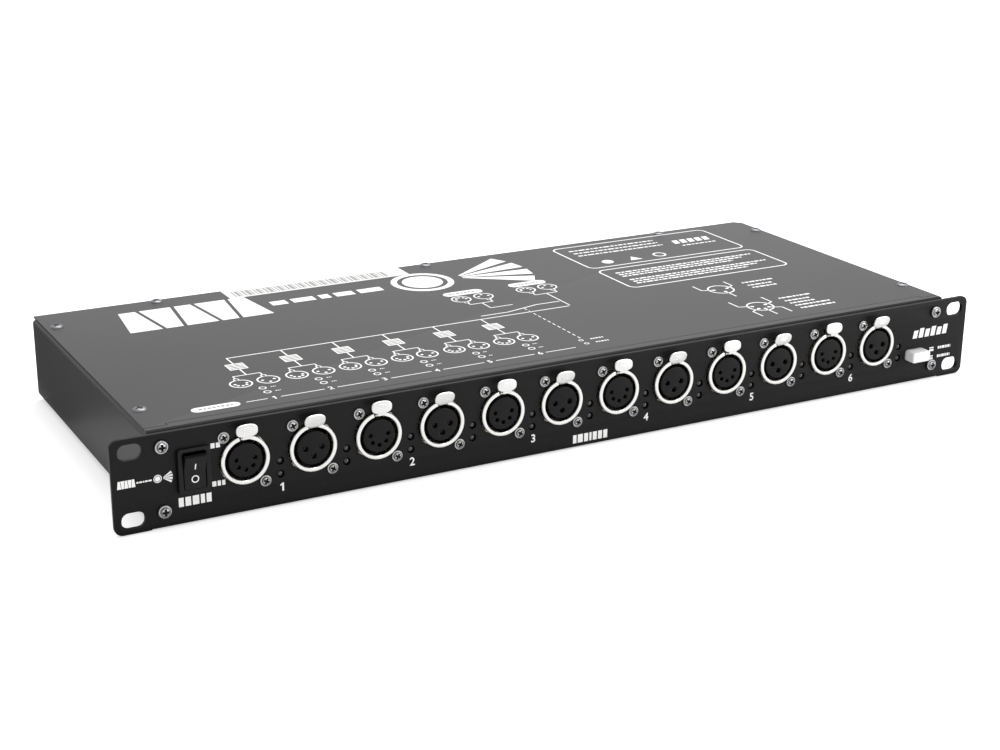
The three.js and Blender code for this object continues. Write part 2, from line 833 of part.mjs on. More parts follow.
function switchFrame() {
  const bezel = prismAlongY(
    roundedRectangle(
      about(switchX, bezelWidth),
      about(switchZ, bezelHeight),
      bezelCornerRadius,
    ),
    bezelFront,
    -seatGap,
  );
  const body = block(
    about(switchX, switchBodyWidth),
    [-seatGap - bezelThickness / 2, switchBodyDepth],
    about(switchZ, switchBodyHeight),
  );
  const endReach = Math.hypot(rockerHalfHeight, rockerPivotY - bezelFront);
  const pocket = block(
    about(switchX, pocketWidth),
    [bezelFront - cutOverrun, switchBodyDepth - rockerPocketFloor],
    about(switchZ, 2 * endReach + 2 * seatGap),
  );
  const pinHole = prismAlongX(
    circle(rockerPivotY, switchZ, rockerPinRadius + seatGap, screwSides),
    ...about(switchX, pocketWidth + 2 * rockerPinLength),
  );
  const blades = Array.from({ length: bladeCount }, (_, k) =>
    block(
      about(switchX, bladeWidth),
      [switchBodyDepth - rockerPocketFloor / 2, switchBodyDepth + bladeLength],
      about(switchZ + (k - (bladeCount - 1) / 2) * bladePitch, bladeThickness),
    ),
  );
  return joined([cutFrom(joined([bezel, body]), [pocket, pinHole]), ...blades]);
}

function rocker() {
  const creaseY = bezelFront + rockerCrease - rockerPivotY;
  const endZ = rockerHalfHeight * Math.cos(radians(rockerTilt));
  const endY = creaseY - rockerHalfHeight * Math.sin(radians(rockerTilt));
  const side = [
    point(creaseY, 0),
    point(endY, -endZ),
    point(endY + rockerDepth / 2, -endZ),
    point(creaseY + rockerDepth, -endZ / 2),
    point(creaseY + rockerDepth, endZ / 2),
    point(endY + rockerDepth / 2, endZ),
    point(endY, endZ),
  ];
  const pins = prismAlongX(
    circle(0, 0, rockerPinRadius, screwSides),
    ...about(0, rockerWidth + 2 * rockerPinLength),
  );
  return joined([prismAlongX(side, ...about(0, rockerWidth)), pins])
    .rotate([rockerTilt, 0, 0])
    .translate([switchX, rockerPivotY, switchZ]);
}

// Link button: a cap on a stem that slides in the switch behind it
function linkButton() {
  const across = about(buttonX, buttonWidth);
  const up = about(buttonZ, buttonHeight);
  const cap = prismAlongY(
    roundedRectangle(across, up, buttonEdgeRadius),
    -buttonReach,
    buttonBack,
  );
  const stem = block(
    about(buttonX, stemWidth),
    [buttonBack - buttonTail / 2, linkSwitchFront + stemGrip],
    about(buttonZ, stemWidth),
  );
  return joined([cap, stem]);
}

// Main board with what is soldered to it: lamps in their holders, drivers and the link switch
function mainBoard() {
  const plate = block([boardLeft, boardRight], [boardFront, boardBack], [boardBottom, boardTop]);
  const holderFront = boardFront + seatGap;
  const holders = socketPlaces().map((x) =>
    block(
      about(x + lampOffsetX, lampHolderWidth),
      [holderFront, holderFront + lampHolderLength],
      [boardBottom + boardThickness / 2, upperLampZ + lampHolderRim],
    ),
  );
  const lampTip = point(0, lampRecess);
  const lampProfile = [
    lampTip,
    point(lampRadius * Math.SQRT1_2, lampRecess + lampRadius * (1 - Math.SQRT1_2)),
    point(lampRadius, lampRecess + lampRadius),
    point(lampRadius, lampRecess + lampLength),
    point(0, lampRecess + lampLength),
  ];
  const lamp = toSolid(new THREE.LatheGeometry(lampProfile, lampSides));
  const lamps = socketPlaces().flatMap((x) =>
    [upperLampZ, lowerLampZ].map((z) => lamp.translate([x + lampOffsetX, 0, z])),
  );
  const backRow = boardBack - boardPostInset - isolatorLength;
  const chips = Array.from({ length: outputCount }, (_, k) => {
    const x = (socketX(k * socketsPerOutput) + socketX(k * socketsPerOutput + 1)) / 2;
    const low = boardBottom + boardThickness / 2;
    return joined([
      block(
        about(x - driverWidth, driverWidth),
        about(backRow, driverLength),
        [low, boardTop + driverHeight],
      ),
      block(
        about(x + driverWidth, isolatorWidth),
        about(backRow, isolatorLength),
        [low, boardTop + isolatorHeight],
      ),
    ]);
  });
  const linkSwitch = block(
    about(buttonX, linkSwitchWidth),
    [linkSwitchFront, linkSwitchFront + linkSwitchLength],
    [boardBottom + boardThickness / 2, boardTop + linkSwitchHeight],
  );
  const stemHole = block(
    about(buttonX, stemWidth + 2 * seatGap),
    [linkSwitchFront - cutOverrun, linkSwitchFront + stemGrip + buttonTravel + cutOverrun],
    about(buttonZ, stemWidth + 2 * seatGap),
  );
  return joined([plate, ...holders, ...lamps, ...chips, linkSwitch.subtract(stemHole)]);
}

// Mains transformer: a laminated core round a coil, on a strap with two feet
function transformer() {
  const low = caseFloor + seatGap;
  const core = block(
    about(transformerX, coreWidth),
    about(transformerY, coreLength),
    [low, low + coreHeight],
  );
  const coil = block(
    about(transformerX, coilWidth),
    about(transformerY, coilLength),
    about(low + coreHeight / 2, coilHeight),
  );
  const strap = block(
    about(transformerX, transformerFootWidth),
    about(transformerY, coreLength),
    [low, low + transformerFootThickness],
  );
  return joined([core, coil, strap]);
}

// Mains inlet, clipped into the back wall, with its blades and the slot for the fuse drawer
function mainsInlet() {
  const flangeBack = caseDepth + seatGap;
  const outer = flangeBack + inletFlangeThickness;
  const flange = prismAlongY(
    roundedRectangle(
      about(inletX, inletFlangeWidth),
      about(backSocketZ, inletFlangeHeight),
      flangeCornerRadius,
    ),
    flangeBack,
    outer,
  );
  const inner = caseDepth - inletBodyDepth;
  const body = block(
    about(inletX, inletBodyWidth),
    [inner, flangeBack + inletFlangeThickness / 2],
    about(backSocketZ, inletBodyHeight),
  );
  const [left, right] = about(inletX, inletCavityWidth);
  const [low, high] = about(inletCavityMiddle, inletCavityHeight);
  const cavity = prismAlongY(
    [
      point(left, low),
      point(right, low),
      point(right, high - inletCavityChamfer),
      point(right - inletCavityChamfer, high),
      point(left + inletCavityChamfer, high),
      point(left, high - inletCavityChamfer),
    ],
    outer - inletCavityDepth,
    outer + cutOverrun,
  );
  const drawerSlot = block(
    about(inletX, drawerWidth + 2 * seatGap),
    [outer - drawerLength - seatGap, outer + cutOverrun],
    about(drawerMiddle, drawerHeight + 2 * seatGap),
  );
  const pinPlaces = [
    [inletX, inletCavityMiddle + inletEarthRise / 2],
    [inletX - inletPinPitch / 2, inletCavityMiddle - inletEarthRise / 2],
    [inletX + inletPinPitch / 2, inletCavityMiddle - inletEarthRise / 2],
  ];
  const cavityFloor = outer - inletCavityDepth;
  const pins = pinPlaces.map(([x, z]) =>
    block(
      about(x, inletPinWidth),
      [cavityFloor - inletWall, cavityFloor + inletPinLength],
      about(z, inletPinHeight),
    ),
  );
  const tags = pinPlaces.map(([x, z]) =>
    block(about(x, bladeThickness), [inner - bladeLength, inner + inletWall], about(z, bladeWidth)),
  );
  return joined([cutFrom(joined([flange, body]), [cavity, drawerSlot]), ...pins, ...tags]);
}

function fuseDrawer() {
  const outer = caseDepth + seatGap + inletFlangeThickness;
  const tray = block(
    about(inletX, drawerWidth),
    [outer - drawerLength, outer + seatGap + drawerLipThickness],
    about(drawerMiddle, drawerHeight),
  );
  const lip = block(
    about(inletX, drawerWidth + 2 * drawerLipRim),
    [outer + seatGap, outer + seatGap + drawerLipThickness],
    about(drawerMiddle, drawerHeight + 2 * drawerLipRim),
  );
  return joined([tray, lip]);
}

function foot() {
  const top = footHeight - seatGap;
  const profile = [
    point(0, 0),
    point(footRadius - footTaper, 0),
    point(footRadius, top),
    point(0, top),
  ];
  const turned = new THREE.LatheGeometry(profile, footSides).rotateX(Math.PI / 2);
  return toSolid(turned);
}

// Assembly
const splitter = new THREE.Group();
splitter.position.y = -middleY;

function place(name, geometry, material, x = 0, y = 0, z = 0, turn = 0) {
  const mesh = new THREE.Mesh(geometry, material);
  mesh.name = name;
  mesh.position.set(x, y, z);
  mesh.rotation.z = turn;
  splitter.add(mesh);
}

place("case_tray", toGeometry(caseTray()), darkPaint);
place("top_cover", toGeometry(topCover()), darkPaint);
place("front_panel", toGeometry(frontPanel()), blackPaint);

const panelScrewGeometry = toGeometry(panelScrew());
panelScrewPlaces().forEach(([x, z], k) => {
  place(`panel_screw_${k + 1}`, panelScrewGeometry, zincSteel, x, -seatGap, z);
});

const frontFootDrop = socketZ - boardTop - seatGap;
const frontSocketGeometry = toGeometry(latchedSocket(frontFlangeY, frontFootDrop));
const kinds = [
  { contacts: fivePin, tab: fivePinTab },
  { contacts: threePin, tab: threePinTab },
];
const frontCarriers = kinds.map((kind) =>
  toGeometry(contactCarrier(kind.contacts, frontFlangeY, boreRadius - seatGap)),
);
const frontLatches = kinds.map((kind) => toGeometry(latch(kind.tab, frontFlangeY)));
socketPlaces().forEach((x, k) => {
  const label = String(k + 1).padStart(2, "0");
  const kind = k % socketsPerOutput;
  const spot = [x, frontFlangeY, socketZ];
  place(`output_socket_${label}`, frontSocketGeometry, nickel, ...spot);
  place(`contact_carrier_${label}`, frontCarriers[kind], blackPlastic, ...spot);
  place(`socket_latch_${label}`, frontLatches[kind], nickel, ...spot);
});

place("power_switch_frame", toGeometry(switchFrame()), blackPlastic);
place("power_rocker", toGeometry(rocker()), blackPlastic);
place("link_button", toGeometry(linkButton()), whitePlastic);
place("main_board", toGeometry(mainBoard()), boardGreen);
place("mains_transformer", toGeometry(transformer()), ironCore);

const backFootDrop = housingRadius;
const backPieces = [
  { label: "5pin", kind: kinds[0], linkX: linkFivePinX, inputX: inputFivePinX },
  { label: "3pin", kind: kinds[1], linkX: linkThreePinX, inputX: inputThreePinX },
];
backPieces.forEach(({ label, kind, linkX, inputX }) => {
  const carrier = contactCarrier(kind.contacts, backWallDepth, boreRadius + seatGap);
  const link = joined([latchedSocket(backWallDepth, backFootDrop), carrier]);
  const linkSpot = [linkX, backFlangeY, backSocketZ, Math.PI];
  const inputSpot = [inputX, backFlangeY, backSocketZ, Math.PI];
  place(`link_socket_${label}`, toGeometry(link), nickel, ...linkSpot);
  place(`link_latch_${label}`, toGeometry(latch(kind.tab, backWallDepth)), nickel, ...linkSpot);
  const input = toGeometry(pinSocket(kind.contacts, backWallDepth));
  place(`input_socket_${label}`, input, nickel, ...inputSpot);
});

place("mains_inlet", toGeometry(mainsInlet()), blackPlastic);
place("fuse_drawer", toGeometry(fuseDrawer()), blackPlastic);

const footGeometry = toGeometry(foot());
const footPlaces = drawnIn([caseFront, caseDepth], footInset).flatMap((y) =>
  drawnIn(caseSpan, footInset).map((x) => [x, y]),
);
footPlaces.forEach(([x, y], k) => {
  place(`rubber_foot_${k + 1}`, footGeometry, blackRubber, x, y, 0);
});

export default splitter;
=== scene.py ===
import math

import bmesh
import bpy
from mathutils import Matrix, Vector


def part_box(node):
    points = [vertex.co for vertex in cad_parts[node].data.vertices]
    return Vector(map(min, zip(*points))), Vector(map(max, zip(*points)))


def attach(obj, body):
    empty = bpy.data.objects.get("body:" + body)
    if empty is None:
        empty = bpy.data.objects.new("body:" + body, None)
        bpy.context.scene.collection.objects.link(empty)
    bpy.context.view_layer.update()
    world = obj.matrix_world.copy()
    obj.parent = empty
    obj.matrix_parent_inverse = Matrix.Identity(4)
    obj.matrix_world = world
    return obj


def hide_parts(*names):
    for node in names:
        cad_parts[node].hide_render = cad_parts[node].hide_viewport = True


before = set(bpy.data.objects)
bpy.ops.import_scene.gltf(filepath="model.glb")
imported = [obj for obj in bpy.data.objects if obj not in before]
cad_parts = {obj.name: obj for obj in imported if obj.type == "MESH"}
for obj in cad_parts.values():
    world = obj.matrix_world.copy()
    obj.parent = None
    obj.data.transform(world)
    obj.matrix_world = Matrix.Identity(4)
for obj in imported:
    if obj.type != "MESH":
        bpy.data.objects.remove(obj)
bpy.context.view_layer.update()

# The view: a camera in front of the rack unit's left end and above it, that looks down on the cover
# and along the front panel. Meshes are drawn in millimetres and turned into metres as they are
# placed. The frame's axes are X right, Y back and Z up.
MM = 0.001


def corners(node):
    """The lowest and highest corner of a solid, in millimetres."""
    low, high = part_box(node)
    return low / MM, high / MM


def in_scene(name, data):
    """A new object in the scene."""
    item = bpy.data.objects.new(name, data)
    bpy.context.scene.collection.objects.link(item)
    return item


panel_low, panel_high = corners("front_panel")
panel_front = panel_low.y
panel_middle = (panel_low.z + panel_high.z) / 2
lens = 63.3
film_width = 36
camera_azimuth = math.radians(28.78)
camera_elevation = math.radians(19.13)
camera_roll = math.radians(0.52)
camera_place = Vector((-430.8, panel_front - 690.3, panel_middle + 295.6))

camera = in_scene("camera", bpy.data.cameras.new("camera"))
camera.data.lens = lens
camera.data.sensor_width = film_width
camera.matrix_world = (
    Matrix.Translation(camera_place * MM)
    @ Matrix.Rotation(-camera_azimuth, 4, "Z")
    @ Matrix.Rotation(math.pi / 2 - camera_elevation, 4, "X")
    @ Matrix.Rotation(camera_roll, 4, "Z")
)
bpy.context.scene.camera = camera

# The case: one tray of millimetre steel sheet, powder coated in dark grey. Its walls bend over at
# the top into narrow flanges that meet in mitres, and the cover is screwed down on them. In front
# the edge is folded double and stands level with the cover. Holes are punched for all sockets.
case_grey = (0.042, 0.042, 0.044)
# The bend of the front fold is painted near black: painted shade behind the panel's top edge.
bend_painted_shade_grey = (0.004, 0.004, 0.004)
sheet = 1.0
bend_radius = 2.4
bend_steps = 8
floor_corner = 0.6
floor_edge_radius = 0.45
flange_reach = 12.0
edge_softness = 0.12
punched_edge = 0.02
# A turned profile ends this close to its axis.
on_axis = 1e-4


def arc(x, y, radius, start, end, steps):
    """Points along an arc, with its angles in degrees."""
    turns = [math.radians(start + (end - start) * k / steps) for k in range(steps + 1)]
    return [(x + radius * math.cos(t), y + radius * math.sin(t)) for t in turns]


def disc(x, y, radius, steps=40):
    """Points all round a circle."""
    return arc(x, y, radius, 0, 360, steps)[:-1]


def rectangle(x0, y0, x1, y1):
    """The four corners of a rectangle."""
    return [(x0, y0), (x1, y0), (x1, y1), (x0, y1)]


def rounded(x, y, width, height, radius, steps=6):
    """A rectangle about a middle, with round corners."""
    w, h = width / 2 - radius, height / 2 - radius
    turns = ((w, -h, -90), (w, h, 0), (-w, h, 90), (-w, -h, 180))
    bends = [arc(x + dx, y + dy, radius, start, start + 90, steps) for dx, dy, start in turns]
    return [point for bend in bends for point in bend]


def keyhole(x, y, radius, notch_top):
    """A round hole with a notch in its top for a latch."""
    half = latch_notch_width / 2
    edge = math.degrees(math.acos(half / radius))
    notch = [(x + half, y + notch_top), (x - half, y + notch_top)]
    return notch + arc(x, y, radius, 180 - edge, 360 + edge, 44)


def tidied(mesh):
    """Welds a mesh's doubled points and turns its faces out."""
    near = 0.0005
    work = bmesh.new()
    work.from_mesh(mesh)
    bmesh.ops.remove_doubles(work, verts=work.verts, dist=near)
    bmesh.ops.dissolve_degenerate(work, edges=work.edges, dist=near)
    bmesh.ops.recalc_face_normals(work, faces=work.faces)
    work.to_mesh(mesh)
    work.free()
    return mesh


def plate(outline, holes, thickness, edge=edge_softness, rounds=2):
    """A flat plate on the plane of X and Y, from Z zero up, with softened edges."""
    curve = bpy.data.curves.new("outline", "CURVE")
    curve.dimensions = "2D"
    curve.fill_mode = "BOTH"
    curve.extrude = thickness / 2 - edge
    curve.bevel_depth = edge
    curve.bevel_resolution = rounds
    curve.offset = -edge
    for points in [outline, *holes]:
        spline = curve.splines.new("POLY")
        spline.points.add(len(points) - 1)
        spline.points.foreach_set("co", [c for x, y in points for c in (x, y, 0, 1)])
        spline.use_cyclic_u = True
    holder = in_scene("outline", curve)
    graph = bpy.context.evaluated_depsgraph_get()
    mesh = bpy.data.meshes.new_from_object(holder.evaluated_get(graph))
    bpy.data.objects.remove(holder)
    bpy.data.curves.remove(curve)
    mesh.transform(Matrix.Translation((0, 0, thickness / 2)))
    return tidied(mesh)


def sweep(rings, closed):
    """A skin over rings of points. Closed rings of rings have no ends, and others get caps."""
    mesh = bpy.data.meshes.new("skin")
    count = len(rings[0])
    faces = []
    for k in range(len(rings) if closed else len(rings) - 1):
        a, b = k * count, (k + 1) % len(rings) * count
        faces += [(a + i, a + (i + 1) % count, b + (i + 1) % count, b + i) for i in range(count)]
    if not closed:
        last = (len(rings) - 1) * count
        faces += [tuple(range(count))[::-1], tuple(range(last, last + count))]
    mesh.from_pydata([p for ring in rings for p in ring], [], faces)
    return tidied(mesh)


def moved(mesh, *steps):
    """A mesh after a row of matrices, the first one first."""
    for step in steps:
        mesh.transform(step)
    return mesh


def shift(x=0.0, y=0.0, z=0.0):
    """A move by some millimetres."""
    return Matrix.Translation((x, y, z))


def turn(degrees, axis):
    """A turn about one of the frame's axes."""
    return Matrix.Rotation(math.radians(degrees), 4, axis)


def merged(name, parts):
    """One mesh in metres from pairs of a mesh in millimetres and a material."""
    sharp_from = math.radians(32)
    whole = bmesh.new()
    finishes = []
    for mesh, finish in parts:
        if finish not in finishes:
            finishes.append(finish)
        first = len(whole.faces)
        whole.from_mesh(mesh)
        whole.faces.ensure_lookup_table()
        for face in whole.faces[first:]:
            face.material_index = finishes.index(finish)
    mesh = bpy.data.meshes.new(name)
    whole.to_mesh(mesh)
    whole.free()
    for finish in finishes:
        mesh.materials.append(finish)
    mesh.shade_smooth()
    mesh.set_sharp_from_angle(angle=sharp_from)
    mesh.transform(Matrix.Scale(MM, 4))
    return mesh


def in_finish(finish, meshes):
    """Pairs of each mesh and the same material."""
    return [(mesh, finish) for mesh in meshes]


def fitted(parts, *steps):
    """Copies of pairs of a mesh and a material, with the meshes moved."""
    return [(moved(mesh.copy(), *steps), finish) for mesh, finish in parts]


def place(name, parts, body, stands_for=(), spot=(0, 0, 0)):
    """Puts a piece in the scene, on its body, in place of the solids that it stands for.

    The parts are pairs of a mesh and a material, or one merged mesh that several pieces share.
    """
    mesh = parts if isinstance(parts, bpy.types.Mesh) else merged(name, parts)
    piece = in_scene(name, mesh)
    piece.location = Vector(spot) * MM
    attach(piece, body)
    if stands_for:
        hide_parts(*stands_for)


def feed(tree, node, inputs):
    """Links sockets to the inputs of a node, or sets the inputs to plain values."""
    for label, value in inputs.items():
        if isinstance(value, bpy.types.NodeSocket):
            tree.links.new(value, node.inputs[label])
        else:
            node.inputs[label].default_value = value


def group_of(name, inputs, outputs):
    """An empty shader node group with named numbers as its inputs and outputs."""
    group = bpy.data.node_groups.new(name, "ShaderNodeTree")
    for label, value in inputs.items():
        socket = group.interface.new_socket(label, in_out="INPUT", socket_type="NodeSocketFloat")
        socket.default_value = value
    for label in outputs:
        group.interface.new_socket(label, in_out="OUTPUT", socket_type="NodeSocketFloat")
    return group, group.nodes.new("NodeGroupInput"), group.nodes.new("NodeGroupOutput")


def effect_of(tree, group, inputs):
    """The outputs of a node group that is placed in a material with its own values."""
    node = tree.nodes.new("ShaderNodeGroup")
    node.node_tree = group
    feed(tree, node, inputs)
    return node.outputs


def math_node(tree, operation, first, second):
    """The result of a math node whose inputs are sockets or numbers."""
    node = tree.nodes.new("ShaderNodeMath")
    node.operation = operation
    feed(tree, node, {0: first, 1: second})
    return node.outputs[0]


def about_zero(tree, value):
    """A value from zero to one, moved to vary about zero."""
    return math_node(tree, "SUBTRACT", value, 0.5)


def noise_node(tree, scale, detail=2.0):
    """Noise in the piece's own metres."""
    spot = tree.nodes.new("ShaderNodeTexCoord")
    noise = tree.nodes.new("ShaderNodeTexNoise")
    feed(tree, noise, {"Vector": spot.outputs["Object"], "Scale": scale, "Detail": detail})
    return noise.outputs[0]


def build_grain_group():
    """Coat grain and clouds of tone, with edges painted lighter as wear and as a painted highlight."""
    grain_share, even_edge_share, edge_mask_width = 0.35, 0.3, 0.35
    inputs = {"Grain": 1800.0, "Clouds": 14.0, "WearAndHighlight": 0.25}
    group, given, result = group_of("coat_grain", inputs, ["Height", "Tone", "Edge"])
    fine = noise_node(group, given.outputs["Grain"], detail=1.0)
    cloud = noise_node(group, given.outputs["Clouds"], detail=4.0)
    speck = math_node(group, "MULTIPLY", about_zero(group, fine), grain_share)
    soft = group.nodes.new("ShaderNodeBevel")
    flat = group.nodes.new("ShaderNodeNewGeometry")
    across = group.nodes.new("ShaderNodeVectorMath")
    across.operation = "DOT_PRODUCT"
    feed(group, soft, {"Radius": edge_mask_width * MM})
    feed(group, across, {0: soft.outputs["Normal"], 1: flat.outputs["Normal"]})
    bend = math_node(group, "SUBTRACT", 1.0, across.outputs["Value"])
    worn_and_highlit_edges = math_node(group, "MULTIPLY", bend, math_node(group, "ADD", cloud, even_edge_share))
    tone = math_node(group, "ADD", about_zero(group, cloud), speck)
    edge = math_node(group, "MULTIPLY", worn_and_highlit_edges, given.outputs["WearAndHighlight"])
    feed(group, result, {"Height": fine, "Tone": tone, "Edge": edge})
    return group


coat_grain = build_grain_group()


def new_material(name):
    """A material, with its nodes and its shader."""
    material = bpy.data.materials.new(name)
    material.use_nodes = True
    return material, material.node_tree, material.node_tree.nodes["Principled BSDF"]


def toned(tree, shader, colour, amount, spread):
    """Lightens and darkens a colour by a value that varies about zero."""
    base = tree.nodes.new("ShaderNodeHueSaturation")
    level = math_node(tree, "ADD", 1.0, math_node(tree, "MULTIPLY", amount, spread))
    feed(tree, base, {"Color": (*colour, 1), "Value": level})
    feed(tree, shader, {"Base Color": base.outputs["Color"]})


def bumped(tree, shader, height, distance, strength=0.5):
    """Raises a surface by a value, over a distance in millimetres."""
    bump = tree.nodes.new("ShaderNodeBump")
    feed(tree, bump, {"Strength": strength, "Distance": distance * MM, "Height": height})
    feed(tree, shader, {"Normal": bump.outputs["Normal"]})


def coated(name, colour, roughness, gloss, grain, clouds, wear_and_highlight):
    """Powder coat: fine grain, faint clouds and edges painted lighter as wear and as a painted highlight."""
    tone_spread, rough_spread, grain_height = 0.5, 0.12, 0.03
    material, tree, shader = new_material(name)
    effect = effect_of(tree, coat_grain, {"Grain": grain, "Clouds": clouds, "WearAndHighlight": wear_and_highlight})
    toned(tree, shader, colour, math_node(tree, "ADD", effect["Tone"], effect["Edge"]), tone_spread)
    rough = math_node(tree, "ADD", roughness, math_node(tree, "MULTIPLY", effect["Tone"], rough_spread))
    feed(tree, shader, {"Specular IOR Level": gloss, "Roughness": rough})
    bumped(tree, shader, effect["Height"], grain_height, strength=0.6)
    return material


case_paint = coated("case_powder_coat", case_grey, roughness=0.45, gloss=0.3, grain=1500, clouds=9, wear_and_highlight=1.5)
bend_painted_shade = coated("painted_shade_powder_coat", bend_painted_shade_grey, roughness=0.5, gloss=0.12, grain=1500, clouds=9, wear_and_highlight=1)

tray_low, tray_high = corners("case_tray")
tray_middle = (tray_low + tray_high) / 2
case_width = tray_high.x - tray_low.x
case_length = tray_high.y - tray_low.y
cover_low, cover_high = corners("top_cover")
cover_head_height = 1.2
cover_top = cover_high.z - cover_head_height
seam = 0.3
flange_top = cover_top - sheet - seam
bend_start = flange_top - bend_radius
side_bottom = tray_low.z + floor_edge_radius
lip_drop = 0.1
lip_top = cover_top - lip_drop
lip_overlap = 0.5
cover_front = tray_low.y + 5.0
cover_step = tray_low.y + 7.5
cover_ear = 11.0
inner_left, inner_right = tray_low.x + cover_ear, tray_high.x - cover_ear


def middle(node):
    """The middle of a solid in X and Z, in millimetres."""
    low, high = corners(node)
    return (low.x + high.x) / 2, (low.z + high.z) / 2


socket_count = 12
socket_spots = [middle(f"contact_carrier_{k + 1:02d}") for k in range(socket_count)]
socket_middle = socket_spots[0][1]
back_sockets = {
    "link_5": "link_socket_5pin",
    "link_3": "link_socket_3pin",
    "input_5": "input_socket_5pin",
    "input_3": "input_socket_3pin",
}
ring_hole_radius = 11.9
latch_notch_width = 5.4
latch_notch_top = 13.46
screw_offset = Vector((9.5, 12.0))
screw_hole_radius = 1.85
lamp_offset = 16.9
lamp_rise = (-4.0, -10.4)
lamp_slot_width = 3.8
lamp_slot_height = lamp_rise[0] - lamp_rise[1] + lamp_slot_width
inlet_middle = middle("mains_inlet")
inlet_opening = (28.2, 26.8)
switch_middle = middle("power_switch_frame")
switch_opening, switch_opening_corner = (14.0, 20.0), 0.5
button_low, button_high = corners("link_button")
button_middle = middle("link_button")
button_size = (button_high.x - button_low.x, button_high.z - button_low.z)
button_clearance, button_opening_corner = 0.4, 1.4
button_opening = [size + 2 * button_clearance for size in button_size]


def socket_holes(x, z, side=1):
    """The hole of one socket and those of its two screws. Side is -1 at the back."""
    dx, dz = screw_offset
    return [
        keyhole(x, z, ring_hole_radius, latch_notch_top),
        disc(x - side * dx, z + dz, screw_hole_radius, steps=20),
        disc(x + side * dx, z - dz, screw_hole_radius, steps=20),
    ]


def control_holes(base=0.0):
    """The openings for the power switch and the link button, with Z measured from a base."""
    (switch_x, switch_z), (button_x, button_z) = switch_middle, button_middle
    return [
        rounded(switch_x, switch_z - base, *switch_opening, radius=switch_opening_corner, steps=2),
        rounded(button_x, button_z - base, *button_opening, radius=button_opening_corner, steps=3),
    ]


def wall(holes, y_front):
    """The flat part of the front or back wall, with its holes."""
    left, right = tray_low.x + floor_edge_radius, tray_high.x - floor_edge_radius
    flat = plate(rectangle(left, side_bottom, right, bend_start), holes, sheet, edge=punched_edge, rounds=0)
    return moved(flat, turn(90, "X"), shift(y=y_front + sheet))


def bent_strip(length, low_end):
    """A flange with its bend, along X, seen from the outside at Y zero, with mitred ends."""
    outer = [(0.0, low_end)] + arc(bend_radius, bend_start, bend_radius, 180, 90, bend_steps)
    inner = arc(bend_radius, bend_start, bend_radius - sheet, 90, 180, bend_steps) + [(sheet, low_end)]
    profile = outer + [(flange_reach, flange_top), (flange_reach, flange_top - sheet)] + inner
    ends = [[(side * (length / 2 - y), y, z) for y, z in profile] for side in (-1, 1)]
    return sweep(ends, closed=False)


def front_lip():
    """The double fold in front of the cover: its bend in painted shade, and its flat with room for the
    cover's ears.
    """
    left, right = cover_low.x, cover_high.x
    front, ears, back = tray_low.y + bend_radius, cover_front - seam, cover_step - seam
    left_ear, right_ear = inner_left + seam, inner_right - seam
    profile = [(0, bend_start)] + arc(bend_radius, lip_top - bend_radius, bend_radius, 180, 90, bend_steps)
    profile += [(bend_radius, flange_top - lip_overlap), (sheet, bend_start)]
    bend = sweep([[(x, tray_low.y + y, z) for y, z in profile] for x in (left, right)], closed=False)
    outline = [(left, front), (right, front), (right, ears), (right_ear, ears)]
    outline += [(right_ear, back), (left_ear, back), (left_ear, ears), (left, ears)]
    flat = moved(plate(outline, [], lip_top - flange_top, edge=punched_edge, rounds=0), shift(z=flange_top))
    return [(bend, bend_painted_shade), (flat, case_paint)]


front_wall_holes = [hole for x, z in socket_spots for hole in socket_holes(x, z)]
for x, z in socket_spots:
    lamp_slot = (x + lamp_offset, socket_middle + sum(lamp_rise) / 2, lamp_slot_width, lamp_slot_height)
    front_wall_holes.append(rounded(*lamp_slot, radius=lamp_slot_width / 2 - 0.01))
back_wall_holes = [hole for node in back_sockets.values() for hole in socket_holes(*middle(node), side=-1)]
back_wall_holes.append(rounded(*inlet_middle, *inlet_opening, radius=0.5, steps=2))
floor_outline = rounded(tray_middle.x, tray_middle.y, case_width, case_length, radius=floor_corner, steps=3)
tray_parts = [
    wall(front_wall_holes + control_holes(), tray_low.y),
    wall(back_wall_holes, tray_high.y - sheet),
    moved(plate(floor_outline, [], sheet, edge=floor_edge_radius, rounds=4), shift(z=tray_low.z)),
]
for length, low_end, degrees, x, y in (
    (case_width, bend_start, 0, tray_middle.x, tray_low.y),
    (case_width, bend_start, 180, tray_middle.x, tray_high.y),
    (case_length, side_bottom, -90, tray_low.x, tray_middle.y),
    (case_length, side_bottom, 90, tray_high.x, tray_middle.y),
):
    tray_parts.append(moved(bent_strip(length, low_end), turn(degrees, "Z"), shift(x, y)))
tray_finished = in_finish(case_paint, tray_parts) + front_lip()
place("case_tray_steel", tray_finished, "chassis", ["case_tray"])

# The sockets: die-cast shells plated with satin nickel. A flange lies behind the wall, a ring comes
# out through the panel round a black contact carrier, and two cross-head screws hold each one.
ring_radius = 11.5
bore_radius = 9.65
ring_reach = 2.2
ring_gap_width = 5.6
gap_angle = math.degrees(math.asin(ring_gap_width / 2 / ring_radius))
ring_ends = (90 + gap_angle, 450 - gap_angle)
flange_size = (26.0, 30.0)
flange_corner = 3
flange_depth = 3.6
flange_thickness = 2.0
housing_radius = 12.0
housing_depth = 20.6
housing_edge = 0.4
carrier_radius = 8.0
carrier_recess = 0.4
carrier_length = 19.0
lid_thickness = 2
# For each count of contacts: the radius of their circle, the angle between two, and a hole's radius.
contact_layouts = {5: (4.5, 49.0, 1.0), 3: (4.0, 90.0, 1.35)}
contact_counts = [5, 3] * (socket_count // 2)


def turned(profile, start=0.0, end=360.0, steps=56):
    """A profile of radius and height turned round Z, all the way or as a piece of a ring."""
    whole = end - start >= 360
    count = steps if whole else steps + 1
    rings = []
    for k in range(count):
        angle = math.radians(start + (end - start) * k / steps)
        rings.append([(r * math.cos(angle), r * math.sin(angle), h) for r, h in profile])
    return sweep(rings, closed=whole)


